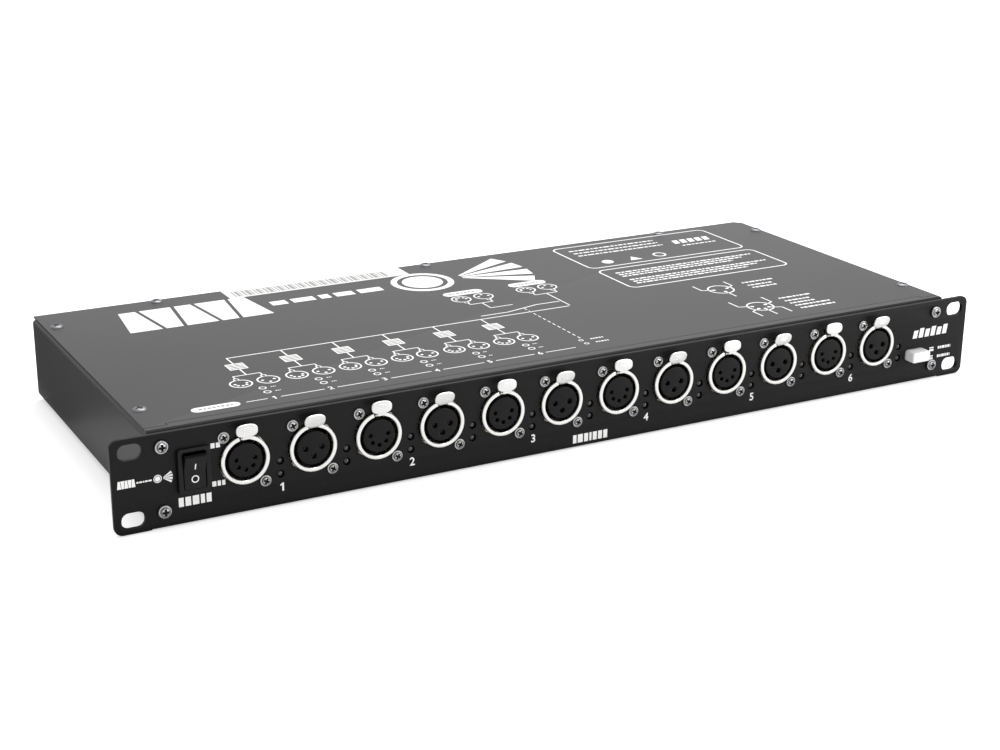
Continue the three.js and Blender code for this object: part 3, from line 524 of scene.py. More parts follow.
def build_scratch_group():
    """Fine marks of handling and a cast skin on plated metal."""
    group, given, result = group_of("plating_marks", {"Scale": 900.0}, ["Height", "Rough"])
    fine = noise_node(group, given.outputs["Scale"], detail=3.0)
    wide = noise_node(group, 120.0, detail=3.0)
    rough = math_node(group, "MULTIPLY", about_zero(group, wide), 0.3)
    feed(group, result, {"Height": fine, "Rough": rough})
    return group


plating_marks = build_scratch_group()


def plated(name, tone, roughness):
    """Plated or bare metal, worn a little unevenly."""
    material, tree, shader = new_material(name)
    effect = effect_of(tree, plating_marks, {})
    toned(tree, shader, tone, effect["Rough"], spread=0.3)
    feed(tree, shader, {"Metallic": 1.0, "Roughness": math_node(tree, "ADD", roughness, effect["Rough"])})
    bumped(tree, shader, effect["Height"], distance=0.01, strength=0.4)
    return material


def moulded(name, tone, roughness, gloss=0.4, depth=0.02):
    """Moulded plastic with a finely sparked skin."""
    material, tree, shader = new_material(name)
    # Its edges are painted a little lighter, as wear and as a painted highlight.
    effect = effect_of(tree, coat_grain, {"Grain": 3000, "Clouds": 60, "WearAndHighlight": 0.6})
    toned(tree, shader, tone, math_node(tree, "ADD", effect["Tone"], effect["Edge"]), spread=0.3)
    feed(tree, shader, {"Specular IOR Level": gloss, "Roughness": roughness})
    bumped(tree, shader, effect["Height"], depth)
    return material


nickel = plated("satin_nickel", (0.80, 0.79, 0.77), roughness=0.28)
zinc = plated("bright_zinc", (0.78, 0.78, 0.79), roughness=0.3)
screw_steel = plated("screw_steel", (0.50, 0.50, 0.51), roughness=0.3)
dark_screw = plated("blackened_screw", (0.20, 0.20, 0.21), roughness=0.34)
contact_metal = plated("tinned_contact", (0.62, 0.58, 0.5), roughness=0.35)
black_plastic = moulded("black_moulding", (0.0045, 0.0045, 0.005), roughness=0.45, gloss=0.17)
recess_shade = moulded("recess_shade", (0.006, 0.006, 0.006), roughness=0.7, gloss=0.1)


def socket_shell(depth):
    """Ring, flange and housing. Depth is from the outer face of the wall to the flange."""
    rim = [(0.0, ring_reach - 0.45), (0.3, ring_reach - 0.08), (0.75, ring_reach)]
    ring = [(bore_radius, -depth)] + [(bore_radius + inset, level) for inset, level in rim]
    ring += [(ring_radius - inset, level) for inset, level in reversed(rim)] + [(ring_radius, -depth)]
    notched = keyhole(0, 0, bore_radius, latch_notch_top - 0.7)
    flange = plate(rounded(0, 0, *flange_size, radius=flange_corner), [notched], flange_thickness, edge=0.2)
    front, back = -depth - flange_thickness, -depth - housing_depth + flange_depth
    housing = [
        (bore_radius, back),
        (bore_radius, front),
        (housing_radius, front),
        (housing_radius, back + housing_edge),
        (housing_radius - housing_edge, back),
    ]
    return [turned(ring, *ring_ends), moved(flange, shift(z=front)), turned(housing, *ring_ends)]


def contact_places(count):
    """Where the contacts are about a socket's axis, and the radius of their holes."""
    radius, step, hole = contact_layouts[count]
    turns = [math.radians(-90 + (k - (count - 1) / 2) * step) for k in range(count)]
    return [(radius * math.cos(t), radius * math.sin(t)) for t in turns], hole


def contact_block(count):
    """The black carrier, with a springy tube in each contact hole and a lid on its back."""
    places, hole = contact_places(count)
    back = ring_reach - carrier_recess - carrier_length
    holes = [disc(x, y, hole, steps=20) for x, y in places]
    nose = plate(disc(0, 0, carrier_radius, steps=56), holes, carrier_length, edge=0.35, rounds=3)
    inner, outer, tube_length = hole - 0.32, hole - 0.06, carrier_length - 4
    tube = [(inner, 0), (inner, tube_length), (outer, tube_length), (outer, 0)]
    lid_radius = bore_radius - 0.3
    lid = turned([(0, 0), (0, lid_thickness), (lid_radius, lid_thickness), (lid_radius, 0)])
    pieces = [(moved(nose, shift(z=back)), black_plastic)]
    pieces += [(moved(turned(tube, steps=16), shift(x, y, back + 1)), contact_metal) for x, y in places]
    pieces.append((moved(lid, shift(z=back)), black_plastic))
    return pieces


def cross_recess(depth, length, width):
    """The two cutters for a cross slot, and dark bars on its floor that are its painted shade."""
    cutters, floors = [], []
    mouth = rectangle(-length, -width, length, width)
    for degrees in (0, 90):
        floor_level = -0.3 * depth - degrees * 0.0002
        for shapes, low, high in (
            (cutters, (0.9, -depth), (1.0, 0.6 * depth)),
            (floors, (0.93, floor_level - 0.05), (0.93, floor_level)),
        ):
            rings = [[(x * share, y * share, z) for x, y in mouth] for share, z in (low, high)]
            shapes.append(moved(sweep(rings, closed=False), turn(degrees, "Z")))
    return cutters, floors


def cut(mesh, cutters):
    """A mesh with other meshes taken out of it."""
    body = in_scene("body", mesh)
    tools = [in_scene("tool", cutter) for cutter in cutters]
    for k, tool in enumerate(tools):
        step = body.modifiers.new(f"cut_{k}", "BOOLEAN")
        step.operation = "DIFFERENCE"
        step.solver = "EXACT"
        step.object = tool
    graph = bpy.context.evaluated_depsgraph_get()
    result = bpy.data.meshes.new_from_object(body.evaluated_get(graph))
    for piece in [body, *tools]:
        bpy.data.objects.remove(piece)
    return result


def pan_screw(head_radius, head_height, shank_radius, shank_length, metal, collar=False):
    """A pan-head screw with a cross slot, its head up from Z zero. A collar is a pressed-on washer."""
    shares = ((0, 1.0), (0.35, 0.97), (0.62, 0.86), (0.82, 0.66), (0.95, 0.36), (1.0, 0.1), (0.98, 0))
    slot_length, slot_width = 0.62, 0.15
    if collar:
        shares = ((0, 1.0), (0.35, 0.97), (0.56, 0.84), (0.66, 0.6), (0.68, 0.2))
        shares += ((0.76, 0.2), (0.8, 0.5), (0.94, 0.46), (1.0, 0.25), (0.98, 0))
        slot_length, slot_width = 0.54, 0.2
    profile = [(max(head_radius * share, on_axis), head_height * rise) for share, rise in shares]
    profile += [(shank_radius, 0), (shank_radius, -shank_length + 0.5), (on_axis, -shank_length)]
    slot, floors = cross_recess(head_height * 0.75, head_radius * slot_length, head_radius * slot_width)
    raised = shift(z=head_height)
    solid = cut(turned(profile, steps=36), [moved(arm, raised) for arm in slot])
    return [(solid, metal)] + [(moved(floor, raised), recess_shade) for floor in floors]


small_screw = pan_screw(
    head_radius=2.75, head_height=1.8, shank_radius=1.45, shank_length=5.0, metal=screw_steel, collar=True
)
facing_front = turn(90, "X")
facing_back = [turn(90, "X"), turn(180, "Z")]
screw_pair = [
    part
    for x, y, angle in ((-screw_offset.x, screw_offset.y, 24), (screw_offset.x, -screw_offset.y, 61))
    for part in fitted(small_screw, turn(angle, "Z"), shift(x, y))
]
shell_parts = in_finish(nickel, socket_shell(flange_depth)) + screw_pair
shell_mesh = merged("output_shell", fitted(shell_parts, facing_front))
carrier_meshes = {
    count: merged(f"carrier_{count}", fitted(contact_block(count), facing_front))
    for count in contact_layouts
}
for k, (x, z) in enumerate(socket_spots):
    label, spot = f"{k + 1:02d}", (x, panel_front, z)
    place(f"socket_shell_{label}", shell_mesh, "chassis", [f"output_socket_{label}"], spot)
    block = carrier_meshes[contact_counts[k]]
    place(f"contact_block_{label}", block, "chassis", [f"contact_carrier_{label}"], spot)

# The latches: stamped nickel-plated levers, one over each socket. The lever lies in the notch of the
# ring and carries a push tab in front, a hook in the bore and a cross bar that it tips on.
latch_thickness = 1.3
latch_neck = 4.6
tab_thickness = 1.1
latch_low = bore_radius + 0.3
latch_high = latch_low + latch_thickness
pivot_behind_flange = 9.4
tab_shapes = {
    5: {"width": 10.2, "height": 5.8, "lean": -0.6, "squareness": 2.7, "low": 12.1, "reach": 5.6},
    3: {"width": 10.2, "height": 6.3, "lean": 2.0, "squareness": 2.6, "low": 10.8, "reach": 3.6},
}
# The tab's three ribs: each one's length as a share of its width, and its level as a share of its height.
tab_ribs = ((0.34, 0.4), (0.42, 0.56), (0.34, 0.72))
rib_radius = 0.22
tab_metal = plated("polished_tab", (0.74, 0.74, 0.73), roughness=0.3)


def sideways(profile, width, edge=0.2):
    """A profile of reach and height, as thick along X as a width, about the middle."""
    return moved(plate(profile, [], width, edge=edge), turn(-90, "Y"), shift(x=width / 2))


def rod(radius, length, y=0.0, z=0.0):
    """A bar along X with softened ends."""
    half, soft = length / 2, min(0.2, radius / 3)
    profile = [(on_axis, -half), (radius - soft, -half), (radius, -half + soft)]
    profile += [(r, -h) for r, h in reversed(profile)]
    return moved(turned(profile, steps=24), turn(90, "Y"), shift(0, y, z))


def push_tab(width, height, lean, squareness, low, reach):
    """The tab that a finger presses: a plate between a rectangle and an oval, with three ribs."""
    slope = math.hypot(height, lean)
    outline = [
        [size / 2 * math.copysign(abs(share) ** (2 / squareness), share) for size, share in spot]
        for spot in [((width, x), (slope, y)) for x, y in disc(0, 0, 1, steps=48)]
    ]
    tab = [plate([(x, y + slope / 2) for x, y in outline], [], tab_thickness, edge=0.4, rounds=3)]
    tab += [rod(rib_radius, width * share, slope * level, tab_thickness - 0.05) for share, level in tab_ribs]
    tilt = turn(math.degrees(math.atan2(lean, height)), "X")
    return [moved(piece, tilt, shift(y=low, z=reach - tab_thickness)) for piece in tab]


def latch_parts(count, pivot):
    """The parts of one latch, drawn round the socket's axis with the wall's face at Z zero."""
    shape = tab_shapes[count]
    front = shape["reach"] - 0.15
    rear, root = front - tab_thickness, shape["low"] + 1.2
    lever = [(-pivot, latch_low), (ring_reach + 0.3, latch_low), (front, latch_high), (front, root)]
    lever += [(rear, root), (rear, latch_high + 0.7), (ring_reach + 0.1, latch_high), (-pivot, latch_high)]
    hook_place, hook_root = pivot_behind_flange - pivot - 1, latch_low + 0.2
    hook = [(hook_place, hook_root), (hook_place, latch_low - 1.3), (hook_place - 2, hook_root)]
    bar = rod(0.9, 8, latch_low + latch_thickness / 2, -pivot)
    return [*push_tab(**shape), sideways(lever, latch_neck), sideways(hook, latch_neck, edge=0.1), bar]


latch_meshes = {}
for count in tab_shapes:
    parts = in_finish(tab_metal, latch_parts(count, flange_depth + pivot_behind_flange))
    latch_meshes[count] = merged(f"latch_{count}", fitted(parts, facing_front))
for k, (x, z) in enumerate(socket_spots):
    label, mesh = f"{k + 1:02d}", latch_meshes[contact_counts[k]]
    spot = (x, panel_front, z)
    place(f"push_latch_{label}", mesh, f"latch_{label}", [f"socket_latch_{label}"], spot)

# The main board: a green glass-fibre board on eight posts, with a driver and an isolator for each
# output, a switch behind the link button and two lamps for each socket that stand at the panel.
board_low, board_high = corners("main_board")
board_thickness = 1.6
board_left, board_right = board_low.x, board_high.x
board_front, board_back = panel_front + 6.2, board_high.y
board_top = button_middle[1] - 4
solder_green = (0.012, 0.085, 0.035)
laminate_green = (0.010, 0.070, 0.030)
track_green = (0.03, 0.15, 0.06)
lamp_radius, lamp_depth, lamp_recess = 1.65, 8.0, 0.2
holder_size, holder_top = (4.4, 4), 1.6
driver_size, isolator_size = (6.4, 9.6, 3.6), (9.6, 19.6, 8.8)
chip_spread, chip_row = 7, board_back - 27
leg_size, leg_spread, leg_pitch, first_leg = (0.8, 0.5, 1.6, 0.05), 3.4, 2.54, -3.8
can_profile = [(on_axis, 0), (3.1, 0), (3.1, 8.2), (2.7, 8.5), (on_axis, 8.5)]
switch_side, plunger_hole, plunger_depth = 7.8, 3.8, 4.0
link_switch_front = panel_front + 8.7


def box(x, y, z, width, depth, height, edge=0.15):
    """A block with softened edges that stands on Z about a middle."""
    footprint = rounded(0, 0, width, depth, radius=edge + 0.05, steps=2)
    return moved(plate(footprint, [], height, edge=edge), shift(x, y, z))


def solder_resist():
    """Glossy green lacquer in which copper tracks show as lighter lines."""
    material, tree, shader = new_material("solder_resist")
    spot = tree.nodes.new("ShaderNodeTexCoord")
    brick = tree.nodes.new("ShaderNodeTexBrick")
    for label, green in (("Color1", solder_green), ("Color2", laminate_green), ("Mortar", track_green)):
        feed(tree, brick, {label: (*green, 1)})
    feed(tree, brick, {"Scale": 90, "Mortar Size": 0.05, "Vector": spot.outputs["Object"]})
    feed(tree, shader, {"Base Color": brick.outputs["Color"], "Roughness": 0.35})
    bumped(tree, shader, brick.outputs["Fac"], 0.03, 0.4)
    return material


def lamp_lens():
    """Smoked lens of a lamp that is off, with painted shade: lighter where it faces the view, darker towards
    its rim.
    """
    material, tree, shader = new_material("smoked_lens")
    facing = tree.nodes.new("ShaderNodeLayerWeight")
    ramp = tree.nodes.new("ShaderNodeValToRGB")
    ramp.color_ramp.elements[0].color = (0.045, 0.045, 0.047, 1)
    ramp.color_ramp.elements[1].color = (0.008, 0.008, 0.009, 1)
    feed(tree, facing, {"Blend": 0.4})
    feed(tree, ramp, {"Fac": facing.outputs["Facing"]})
    feed(tree, shader, {"Base Color": ramp.outputs["Color"], "Roughness": 0.15})
    bumped(tree, shader, noise_node(tree, 700), 0.01, 0.3)
    return material


resist = solder_resist()
lens_plastic = lamp_lens()
chip_plastic = moulded("chip_moulding", (0.014, 0.014, 0.015), roughness=0.5)
isolator_white = moulded("isolator_moulding", (0.5, 0.5, 0.47), roughness=0.5)
dome = arc(0, -lamp_recess - lamp_radius, lamp_radius, 90, 0, 6)
lamp_profile = [(max(r, on_axis), h) for r, h in dome] + [(lamp_radius, -lamp_depth), (on_axis, -lamp_depth)]
lamp = moved(turned(lamp_profile, steps=24), facing_front)
board = plate(rectangle(board_left, board_front, board_right, board_back), [], board_thickness, edge=0.06)
board_parts = [(moved(board, shift(z=board_top - board_thickness)), resist)]
for x, z in socket_spots:
    height = z + lamp_rise[0] + holder_top - board_top
    holder = box(x + lamp_offset, board_front + 2.3, board_top, *holder_size, height)
    board_parts.append((holder, chip_plastic))
    for rise in lamp_rise:
        board_parts.append((moved(lamp.copy(), shift(x + lamp_offset, panel_front, z + rise)), lens_plastic))
for (left, _), (right, _) in zip(socket_spots[::2], socket_spots[1::2]):
    x = (left + right) / 2
    board_parts.append((box(x - chip_spread, chip_row, board_top, *driver_size), chip_plastic))
    board_parts.append((box(x + chip_spread, chip_row, board_top, *isolator_size), isolator_white))
    for side in (-1, 1):
        for k in range(4):
            leg_spot = (x - chip_spread + side * leg_spread, chip_row + first_leg + k * leg_pitch, board_top)
            board_parts.append((box(*leg_spot, *leg_size), contact_metal))
    can = moved(turned(can_profile, steps=24), shift(x, chip_row - 22, board_top))
    board_parts.append((can, chip_plastic))
mouth = plate(
    rounded(0, 0, switch_side, switch_side, radius=0.2, steps=2),
    [rounded(0, 0.1, plunger_hole, plunger_hole, radius=0.3, steps=2)],
    plunger_depth,
    edge=0.1,
)
mouth_back = link_switch_front + plunger_depth
mouth_place = shift(button_middle[0], mouth_back, board_top + switch_side / 2)
link_switch = box(button_middle[0], mouth_back + 3.8, board_top, switch_side, 7.6, switch_side)
board_parts += in_finish(chip_plastic, [moved(mouth, facing_front, mouth_place), link_switch])
place("main_board_parts", board_parts, "chassis", ["main_board"])

post_inset, post_radius, post_edge = 7, 3, 0.5
post_span = board_right - board_left - 2 * post_inset
post_top = board_top - board_thickness - tray_low.z - post_edge
post_profile = [(on_axis, post_edge), (post_radius, post_edge), (post_radius, post_top), (on_axis, post_top)]
post_mesh = merged("board_post", [(turned(post_profile, steps=24), zinc)])
for k in range(8):
    x = board_left + post_inset + post_span * (k // 2) / 3
    y = (board_front + post_inset, board_back - post_inset)[k % 2]
    place(f"board_post_{k + 1}", post_mesh, "chassis", (), (x, y, tray_low.z))

# The front panel: two millimetres of steel with rack ears and two slots in each, punched for all
# that passes through it and coated in black. Light catches the coat's grain, and its edges are
# painted lighter, partly as wear and partly as a painted highlight.
panel_black = (0.0038, 0.0038, 0.004)
panel_paint = coated(
    "panel_powder_coat", panel_black, roughness=0.44, gloss=0.19, grain=2200, clouds=7, wear_and_highlight=1.2
)
panel_thickness = panel_high.y - panel_low.y
panel_width = panel_high.x - panel_low.x
panel_height = panel_high.z - panel_low.z
panel_corner = 4.0
ear_width = 16.5
middle_rise = 0.4
slot_pitch = (465.1, 31.75)
slot_size = (10.6, 7.4)
slot_radius = 3.3
screw_places = [middle(f"panel_screw_{k + 1}") for k in range(4)]
screw_sink = 0.3
screw_clear_hole = 2.3
lamp_clearance = 0.25
step, foot = panel_width / 2 - ear_width, -panel_height / 2
raised_foot = foot + middle_rise
panel_outline = [(-step, foot), (-step + 0.6, raised_foot), (step - 0.6, raised_foot), (step, foot)]
panel_outline += rounded(0, 0, panel_width, panel_height, radius=panel_corner, steps=8)
panel_holes = [
    rounded(side * slot_pitch[0] / 2, end * slot_pitch[1] / 2, *slot_size, radius=slot_radius)
    for side in (-1, 1)
    for end in (-1, 1)
]
panel_holes += [disc(x, z - panel_middle, screw_clear_hole, steps=24) for x, z in screw_places]
for x, z in socket_spots:
    rise = z - panel_middle
    panel_holes += socket_holes(x, rise)
    lamp_hole = lamp_radius + lamp_clearance
    panel_holes += [disc(x + lamp_offset, rise + drop, lamp_hole, steps=24) for drop in lamp_rise]
panel_holes += control_holes(panel_middle)
panel_place = shift(0, panel_front + panel_thickness, panel_middle)
panel_sheet = plate(panel_outline, panel_holes, panel_thickness, edge=0.2, rounds=3)
panel_sheet = moved(panel_sheet, facing_front, panel_place)
place("rack_panel", [(panel_sheet, panel_paint)], "chassis", ["front_panel"])

panel_screw = pan_screw(
    head_radius=3.1, head_height=2.1, shank_radius=1.9, shank_length=5.2, metal=screw_steel, collar=True
)
panel_screw_mesh = merged("panel_screw", fitted(panel_screw, facing_front))
for k, (x, z) in enumerate(screw_places):
    spot = (x, panel_front - screw_sink, z)
    place(f"panel_pan_screw_{k + 1}", panel_screw_mesh, "chassis", [f"panel_screw_{k + 1}"], spot)

# The power switch: a black nylon frame that snaps into the panel, and a rocker whose two flats meet
# in a shallow V. It is off, so the upper flat stands out. Both carry a printed sign.
bezel_depth, bezel_gap = 1.8, 0.3
bezel_corner = 1.2
rocker_size = (10.0, 8.2)
rocker_hole = (rocker_size[0] + 0.6, 2 * rocker_size[1] + 1.1)
rocker_tilt = 10.5
rocker_depth = 5.0
crease_depth = 0.2
barrel_size = (13.2, 19.2)
switch_depth = 14.0
blade_size, blade_reach = (4.8, 0.8, 9, 0.1), 8
ink_height = 0.04
switch_nylon = moulded("switch_nylon", (0.005, 0.005, 0.0055), roughness=0.36, gloss=0.22, depth=0.03)


def printed(name, colour):
    """Screen-printed ink: matt, a little thin in places."""
    material, tree, shader = new_material(name)
    toned(tree, shader, colour, about_zero(tree, noise_node(tree, 2600, detail=3.0)), 0.25)
    feed(tree, shader, {"Roughness": 0.55, "Specular IOR Level": 0.3})
    return material


white_ink = printed("white_ink", (0.93, 0.93, 0.92))
grey_ink = printed("grey_ink", (0.34, 0.34, 0.34))


def stamp(outline, height=ink_height, base=0.0):
    """A thin flat shape from its outline, standing on Z."""
    return sweep([[(x, y, level) for x, y in outline] for level in (base, base + height)], closed=False)


def ring_stamp(outer, inner):
    """A thin flat band between two outlines with as many points each."""
    band = [[(*a, 0), (*a, ink_height), (*b, ink_height), (*b, 0)] for a, b in zip(outer, inner)]
    return sweep(band, closed=True)


def circle_line(x, y, radius, width, steps=36):
    """A circle drawn with a line."""
    outer, inner = [disc(x, y, radius + half, steps=steps) for half in (width / 2, -width / 2)]
    return ring_stamp(outer, inner)


def line(x0, y0, x1, y1, width, height=ink_height):
    """A straight stroke."""
    along = Vector((x1 - x0, y1 - y0)).normalized() * width / 2
    dx, dy = -along.y, along.x
    return stamp([(x0 + dx, y0 + dy), (x0 - dx, y0 - dy), (x1 - dx, y1 - dy), (x1 + dx, y1 + dy)], height)


switch_low, switch_high = corners("power_switch_frame")
bezel_size = (switch_high.x - switch_low.x, switch_high.z - switch_low.z)
bezel_outline = rounded(0, 0, *bezel_size, radius=bezel_corner, steps=5)
bezel_hole = rounded(0, 0, *rocker_hole, radius=0.6, steps=3)
bezel = plate(bezel_outline, [bezel_hole], bezel_depth, edge=0.45, rounds=4)
barrel_hole = rounded(0, 0, *rocker_hole, radius=0.3, steps=2)
barrel = plate(rounded(0, 0, *barrel_size, radius=0.5, steps=2), [barrel_hole], switch_depth + 0.8, edge=0.1)
switch_back = box(0, 0, -switch_depth, barrel_size[0] - 0.2, barrel_size[1] - 0.2, 2.4)
blades = [box(0, y, -switch_depth - blade_reach, *blade_size) for y in (-4.5, 4.5)]
switch_nylons = [moved(bezel, shift(z=bezel_gap)), moved(barrel, shift(z=-switch_depth)), switch_back]
switch_parts = fitted(in_finish(switch_nylon, switch_nylons) + in_finish(contact_metal, blades), facing_front)
switch_spot = (switch_middle[0], panel_front, switch_middle[1])
place("switch_frame", switch_parts, "chassis", ["power_switch_frame"], switch_spot)

half_rocker = rocker_size[1] * math.cos(math.radians(rocker_tilt))
rocker_lift = rocker_size[1] * math.sin(math.radians(rocker_tilt))
crease = rocker_depth / 2
rocker_top, rocker_flank = crease + rocker_lift, crease + rocker_lift - 2.5
rocker_side = [(crease, 0), (rocker_top, -half_rocker), (rocker_flank, -half_rocker)]
rocker_side += [(-crease, -half_rocker / 2), (-crease, half_rocker / 2)]
rocker_side += [(rocker_flank, half_rocker), (rocker_top, half_rocker)]
sign_on = stamp(rounded(0, half_rocker * 0.35, 0.5, 3.3, radius=0.2, steps=2))
sign_off = circle_line(0, -half_rocker * 0.44, 1.5, 0.5)
for sign, direction in ((sign_on, 1), (sign_off, -1)):
    moved(sign, turn(direction * rocker_tilt, "X"), shift(z=crease - 0.01))
rocker_nylons = [sideways(rocker_side, rocker_size[0], edge=0.3), rod(1, rocker_size[0] + 1.6)]
rocker_parts = in_finish(switch_nylon, rocker_nylons) + in_finish(white_ink, [sign_on, sign_off])
pivot_out = bezel_gap + bezel_depth - crease_depth - crease
rocker_spot = (switch_middle[0], panel_front - pivot_out, switch_middle[1])
rocker_parts = fitted(rocker_parts, turn(rocker_tilt, "X"), facing_front)
place("rocker_key", rocker_parts, "rocker", ["power_rocker"], rocker_spot)

# The link button: a white cap, moulded with soft corners, that stands out of the panel's right end.
# Its square stem runs into the switch on the main board.
button_white = moulded("button_moulding", (0.87, 0.87, 0.88), roughness=0.4, gloss=0.45, depth=0.01)
cap_back = 5.0
stem_side, stem_end, stem_length = 3, 8.2, 6
cap_length = panel_front + cap_back - button_low.y
cap = plate(rounded(0, 0, *button_size, radius=1.2, steps=6), [], cap_length, edge=0.7, rounds=5)
stem = box(0, 0, -stem_end, stem_side, stem_side, stem_length)
button_parts = fitted(in_finish(button_white, [moved(cap, shift(z=-cap_back)), stem]), facing_front)
button_spot = (button_middle[0], panel_front, button_middle[1])
place("button_cap", button_parts, "link_button", ["link_button"], button_spot)

# The cover: a flat millimetre plate with two small ears in front, held by seven low screws. It is
# printed in white with a signal diagram: one input and one link feed six outputs of two sockets.
cover_corner_cut = 4.0
cover_outline = [
    (cover_low.x, cover_front),
    (inner_left, cover_front),
    (inner_left, cover_step),
    (inner_right, cover_step),
    (inner_right, cover_front),
    (cover_high.x, cover_front),
    (cover_high.x, cover_high.y - cover_corner_cut),
    (cover_high.x - cover_corner_cut, cover_high.y),
    (cover_low.x, cover_high.y),
]
cover_sheet = moved(plate(cover_outline, [], sheet, edge=0.2, rounds=3), shift(z=cover_top - sheet))
cover_screw = pan_screw(
    head_radius=3.3, head_height=cover_head_height, shank_radius=1.45, shank_length=4.4, metal=dark_screw
)
cover_screw_columns, cover_screw_rows = (cover_low.x + 5.8, cover_high.x - 3.7), (31, 168)
back_screw_columns, back_screw_row = (-158.5, 2, 162.5), 188
cover_screw_places = [(x, y) for x in cover_screw_columns for y in cover_screw_rows]
cover_screw_places += [(x, back_screw_row) for x in back_screw_columns]
cover_parts = [(cover_sheet, case_paint)]
for k, (x, y) in enumerate(cover_screw_places):
    cover_parts += fitted(cover_screw, turn(17 + 31 * k, "Z"), shift(x, panel_front + y, cover_top))
place("cover_plate", cover_parts, "chassis", ["top_cover"])

# Print that crosses other print is a little higher, so that no two faces lie in each other.
crossing_step = 0.004
crossing_ink = 0.05
pair_spread = 6.8


def dashes(x0, x1, y, height, widths, gap=0.7):
    """A row of short marks in the place of words."""
    least = 0.3
    row, x, k = [], x0, 0
    while x < x1:
        width = min(widths[k % len(widths)], x1 - x)
        if width > least:
            row.append(stamp(rectangle(x, y - height / 2, x + width, y + height / 2)))
        x += width + gap
        k += 1
    return row


def grey_marks(x0, x1, y, height, widths):
    """Marks like dashes that lie on white print."""
    return fitted(in_finish(grey_ink, dashes(x0, x1, y, height, widths)), shift(z=ink_height))


def numeral(text, x, y, height):
    """A plain figure as a thin solid, about a middle. The one is drawn without a foot."""
    if text == "1":
        one = ((-0.02, -0.5), (0.2, -0.5), (0.2, 0.5), (0.03, 0.5))
        one += ((-0.24, 0.3), (-0.24, 0.13), (-0.02, 0.25))
        return stamp([(x + height * u, y + height * v) for u, v in one])
    figure_share, boldness = 0.7, 0.02
    letter = bpy.data.curves.new("figure", "FONT")
    letter.body = text
    letter.align_x, letter.align_y = "CENTER", "CENTER"
    letter.size = height / figure_share
    letter.extrude = ink_height / 2
    letter.offset = height * boldness
    holder = in_scene("figure", letter)
    graph = bpy.context.evaluated_depsgraph_get()
    mesh = bpy.data.meshes.new_from_object(holder.evaluated_get(graph))
    bpy.data.objects.remove(holder)
    return tidied(moved(mesh, shift(x, y, ink_height / 2)))


def path(points, width=0.8):
    """Strokes from point to point."""
    strokes = enumerate(zip(points, points[1:]))
    return [line(*a, *b, width, ink_height + crossing_step * (k % 2)) for k, (a, b) in strokes]


def bracket(x0, x1, y, foot):
    """A bar with its two ends turned down to a level."""
    return path([(x0, foot), (x0, y), (x1, y), (x1, foot)], 0.7)


def socket_sign(x, y, dots, facing):
    """The sign of a socket: a circle with a notch circle and a dot for each contact."""
    sign = [circle_line(x, y, 5.2, 0.8), circle_line(x, y + facing * 6.5, 1.2, 0.6, 16)]
    step, reach = 46 if dots == 5 else 90, 2.9
    for k in range(dots):
        angle = math.radians(-90 * facing + (k - (dots - 1) / 2) * step)
        sign.append(stamp(disc(x + reach * math.cos(angle), y + reach * math.sin(angle), 0.8, steps=10)))
    return sign


def socket_pair(x, y, fork, foot, facing=1):
    """The signs of a five pin and a three pin socket under a fork."""
    left, right = x - pair_spread, x + pair_spread
    signs = socket_sign(left, y, 5, facing) + socket_sign(right, y, 3, facing)
    return bracket(left, right, fork, foot) + signs


def pill(x0, x1, y0, y1):
    """A filled bar with round ends."""
    return stamp(rounded((x0 + x1) / 2, (y0 + y1) / 2, x1 - x0, y1 - y0, radius=(y1 - y0) / 2 - 0.01))


def slanted(x, low, width, lean, high):
    """A filled slab that leans to the right."""
    return stamp([(x, low), (x + width, low), (x + width + lean, high), (x + lean, high)])


def lamp_sign(left, low, scale):
    """A plain sign: slabs on end, a row of bars, a disc in a ring, and a fan of rays."""
    disc_x, axis, fan_x = 172.5, 17, 192
    shapes = [disc(disc_x, axis, 11.5)]
    for k in range(5):
        x, foot, head = 15.1 * k, 4 * (k % 2), 4 - 4 * (k % 2)
        shapes.append([(x + foot, 0), (x + 17 - foot, 0), (x + 17 - head, 34.5), (x + head, 34.5)])
    for x, width in ((82, 9), (94, 13), (110, 6), (119, 11), (133, 14)):
        shapes.append(rectangle(x, 12.5, x + width, 19.5))
    for middle_angle in (-28, -9.5, 9.5, 28):
        ray = []
        for reach, spread in ((5, -5), (46, -6.5), (46, 6.5), (5, 5)):
            angle = math.radians(middle_angle + spread)
            ray.append((fan_x + reach * math.cos(angle), axis + reach * math.sin(angle)))
        shapes.append(ray)
    sign = [stamp([(left + scale * x, low + scale * y) for x, y in shape], crossing_ink) for shape in shapes]
    return sign + [circle_line(left + scale * disc_x, low + scale * axis, scale * 16, scale * 3.5, 48)]


# The six outputs: a bus with a drop to each, its driver, its two sockets, its two lamps and its figure.
bus, driver_top, driver_foot, fork, figure_row = 81, 71.5, 63, 54, 18.5
drops = (-158.5, -130.5, -103, -75.5, -47, -19)
row_end = 4.5
diagram = path([(-158.75, bus), (34.5, bus)])
for k, (x, next_x) in enumerate(zip(drops, drops[1:] + (row_end,))):
    diagram.append(line(x, bus, x, driver_top, 0.7, ink_height + crossing_step))
    diagram += [line(x - 4.5, y, x + 4.5, y, 1.1) for y in (63.4, 65.4, 67.4, 69.4, 71.2)]
    diagram += [line(x + side, driver_foot, x + side, driver_top, 0.6, crossing_ink) for side in (-4.3, 4.3)]
    diagram.append(line(x, driver_foot, x, fork, 0.7))
    diagram += socket_pair(x, 43, fork, 50.8)
    for y in (33, 27):
        diagram += [circle_line(x, y, 1.6, 0.6, 18)] + dashes(x + 4, x + 6.5, y, 0.8, (0.7,), 0.4)
    diagram.append(numeral(str(k + 1), x, figure_row, 3.6))
    diagram.append(line(x + 3.2, figure_row, next_x - 3.2, figure_row, 0.6))
diagram += [line(-172, figure_row, drops[0] - 3.2, figure_row, 0.6), pill(-198, -175, 15.5, 21.5)]
